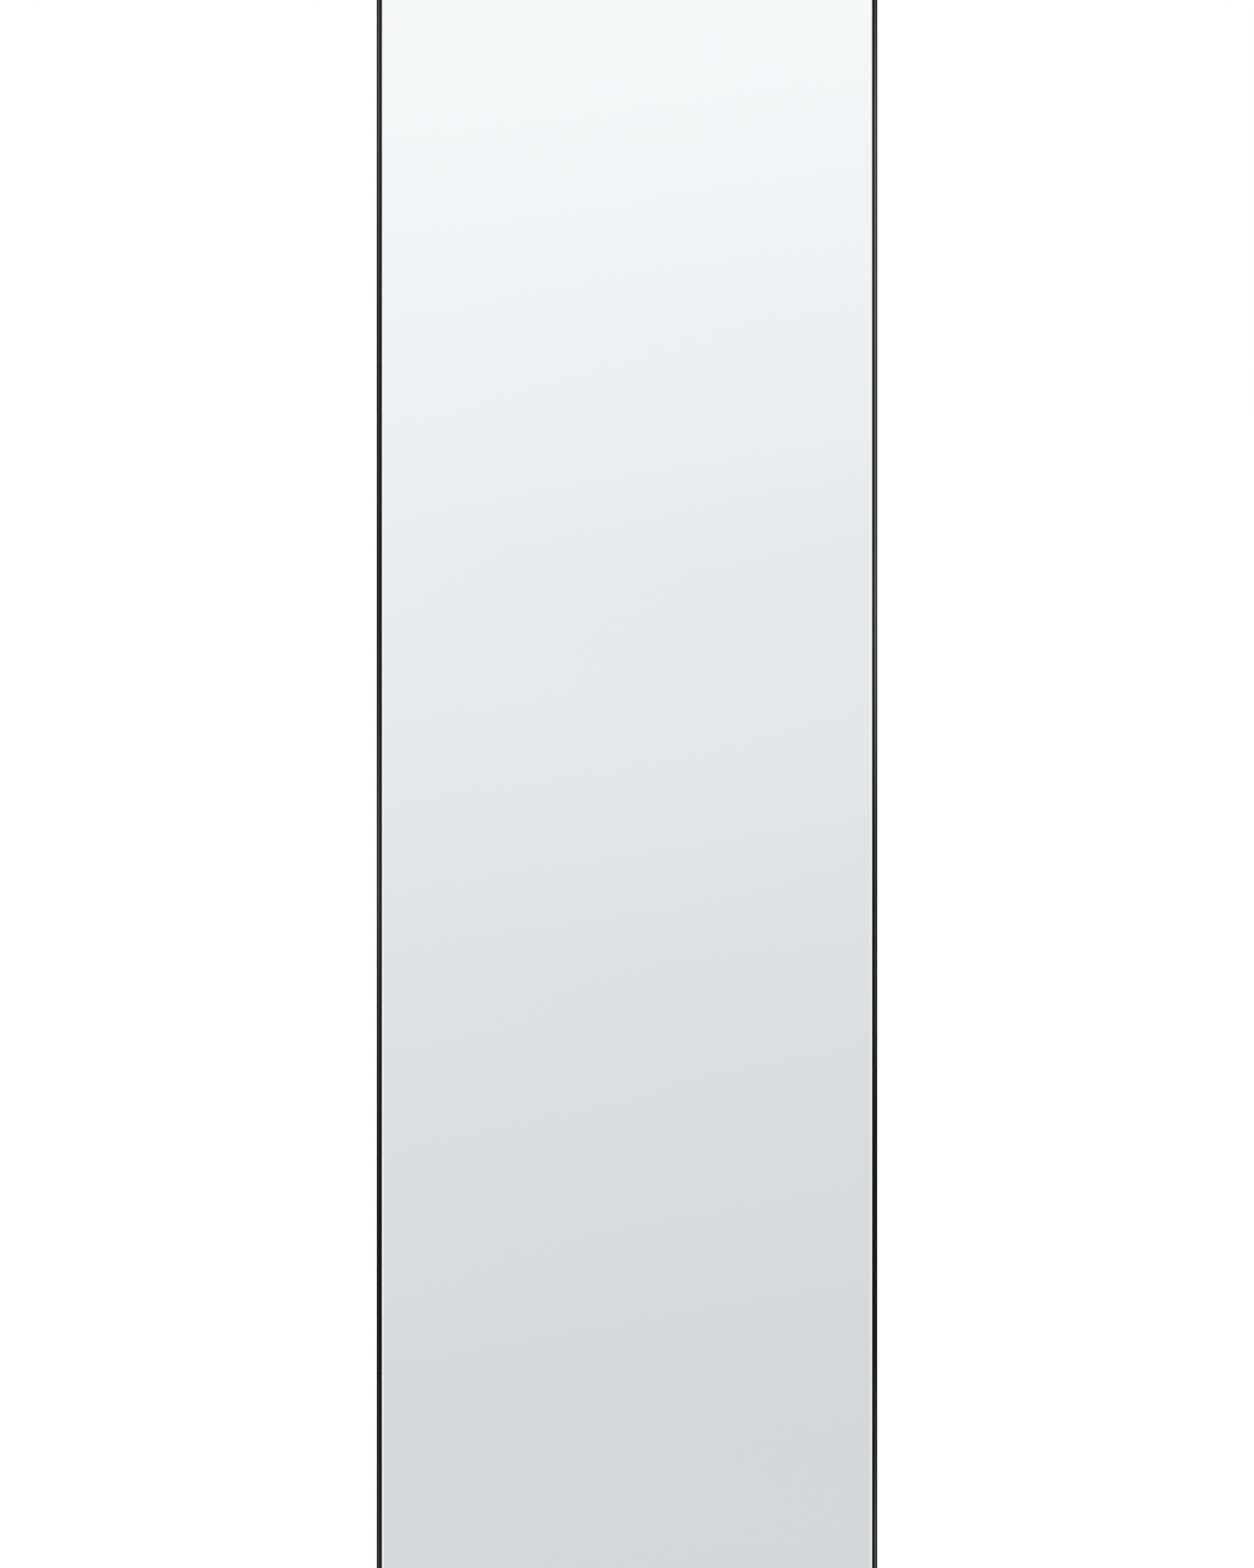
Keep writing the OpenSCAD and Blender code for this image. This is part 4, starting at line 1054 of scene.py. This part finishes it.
def paleFloor():
    # matt pale paint that keeps its shadows, and looks white to the camera where nothing shades it
    material, tree, _ = newMaterial("pale_studio_floor")
    tree.nodes.clear()
    matt = addNode(tree, "ShaderNodeBsdfDiffuse", {"Color": linear(studio["floorTone"])})
    shade = addNode(tree, "ShaderNodeBsdfDiffuse", {"Color": (studio["floorShade"],) * 3 + (1,)})
    where = addNode(tree, "ShaderNodeTexCoord").outputs["Object"]
    even = addNode(tree, "ShaderNodeMapRange", {
        "Value": addNode(tree, "ShaderNodeVectorMath", {0: where}, operation="LENGTH").outputs["Value"],
        "From Min": studio["glowFrom"], "From Max": studio["glowTo"],
        "To Min": studio["glowNear"], "To Max": studio["glowFar"],
    })
    glow = addNode(tree, "ShaderNodeEmission", {"Color": linear("#ffffff"), "Strength": even})
    bright = addNode(tree, "ShaderNodeAddShader", {0: shade, 1: glow})
    grey = addNode(tree, "ShaderNodeEmission", {"Color": linear(studio["glassFloor"]), "Strength": 1.0})
    ray = addNode(tree, "ShaderNodeLightPath").outputs
    greyed = addNode(tree, "ShaderNodeMath", {
        0: ray["Is Glossy Ray"], 1: studio["glassShare"]}, operation="MULTIPLY")
    shown = addNode(tree, "ShaderNodeMixShader", {0: greyed, 1: bright, 2: grey})
    looked = addNode(tree, "ShaderNodeMath", {
        0: ray["Is Camera Ray"], 1: ray["Is Glossy Ray"]}, operation="MAXIMUM")
    whole = addNode(tree, "ShaderNodeMixShader", {0: looked, 1: matt, 2: shown})
    addNode(tree, "ShaderNodeOutputMaterial", {"Surface": whole})
    return material


makeWorld()
floorShape = bmesh.new()
bmesh.ops.create_circle(
    floorShape, cap_ends=True, radius=studio["floorRadius"], segments=studio["floorAround"])
floor = newObject("floor", meshFrom(floorShape, "floor"))
floor.data.materials.append(paleFloor())

lamps = {  # where each square lamp hangs and its side, in metres, and its watts
    "front_left": ((-3.1, -1.7, 2.8), 1.4, 60),
    "front_right": ((3.1, -1.6, 2.6), 1.3, 48),
    "rear_left": ((-2.2, 2.4, 2.8), 1.6, 48),
    "rear_right": ((2.2, 2.5, 2.6), 1.4, 40),
    "top": ((0.0, 0.2, 3.6), 2.0, 40),
}
lampAim = Vector((0, 0, 0.75))
for name, (place, side, watts) in lamps.items():
    light = bpy.data.lights.new(name, "AREA")
    light.shape = "SQUARE"
    light.size = side
    light.energy = watts
    lamp = newObject(name, light)
    lamp.visible_glossy = not name.startswith("front")  # the glass sees plain sky in their place
    lamp.location = place
    lamp.rotation_euler = (lampAim - Vector(place)).to_track_quat("-Z", "Y").to_euler()

view = {
    "distance": 5.0, "sensor": 36,
    "tall": 1.2526,  # how many metres of mirror fill the picture's height
    "centreUp": 0.5,  # the picture's middle, as a share of the mirror's height
}
camera = newObject("camera", bpy.data.cameras.new("camera"))
camera.data.sensor_width = view["sensor"]
camera.data.lens = view["sensor"] * view["distance"] / view["tall"]
camera.data.clip_end = 100
standpoint = Matrix.Translation((0, -view["distance"], mirrorTall * view["centreUp"]))
camera.matrix_world = leaning @ standpoint @ Matrix.Rotation(math.pi / 2, 4, "X")
bpy.context.scene.camera = camera
bpy.context.scene.view_settings.view_transform = "Standard"
print("studio lit")
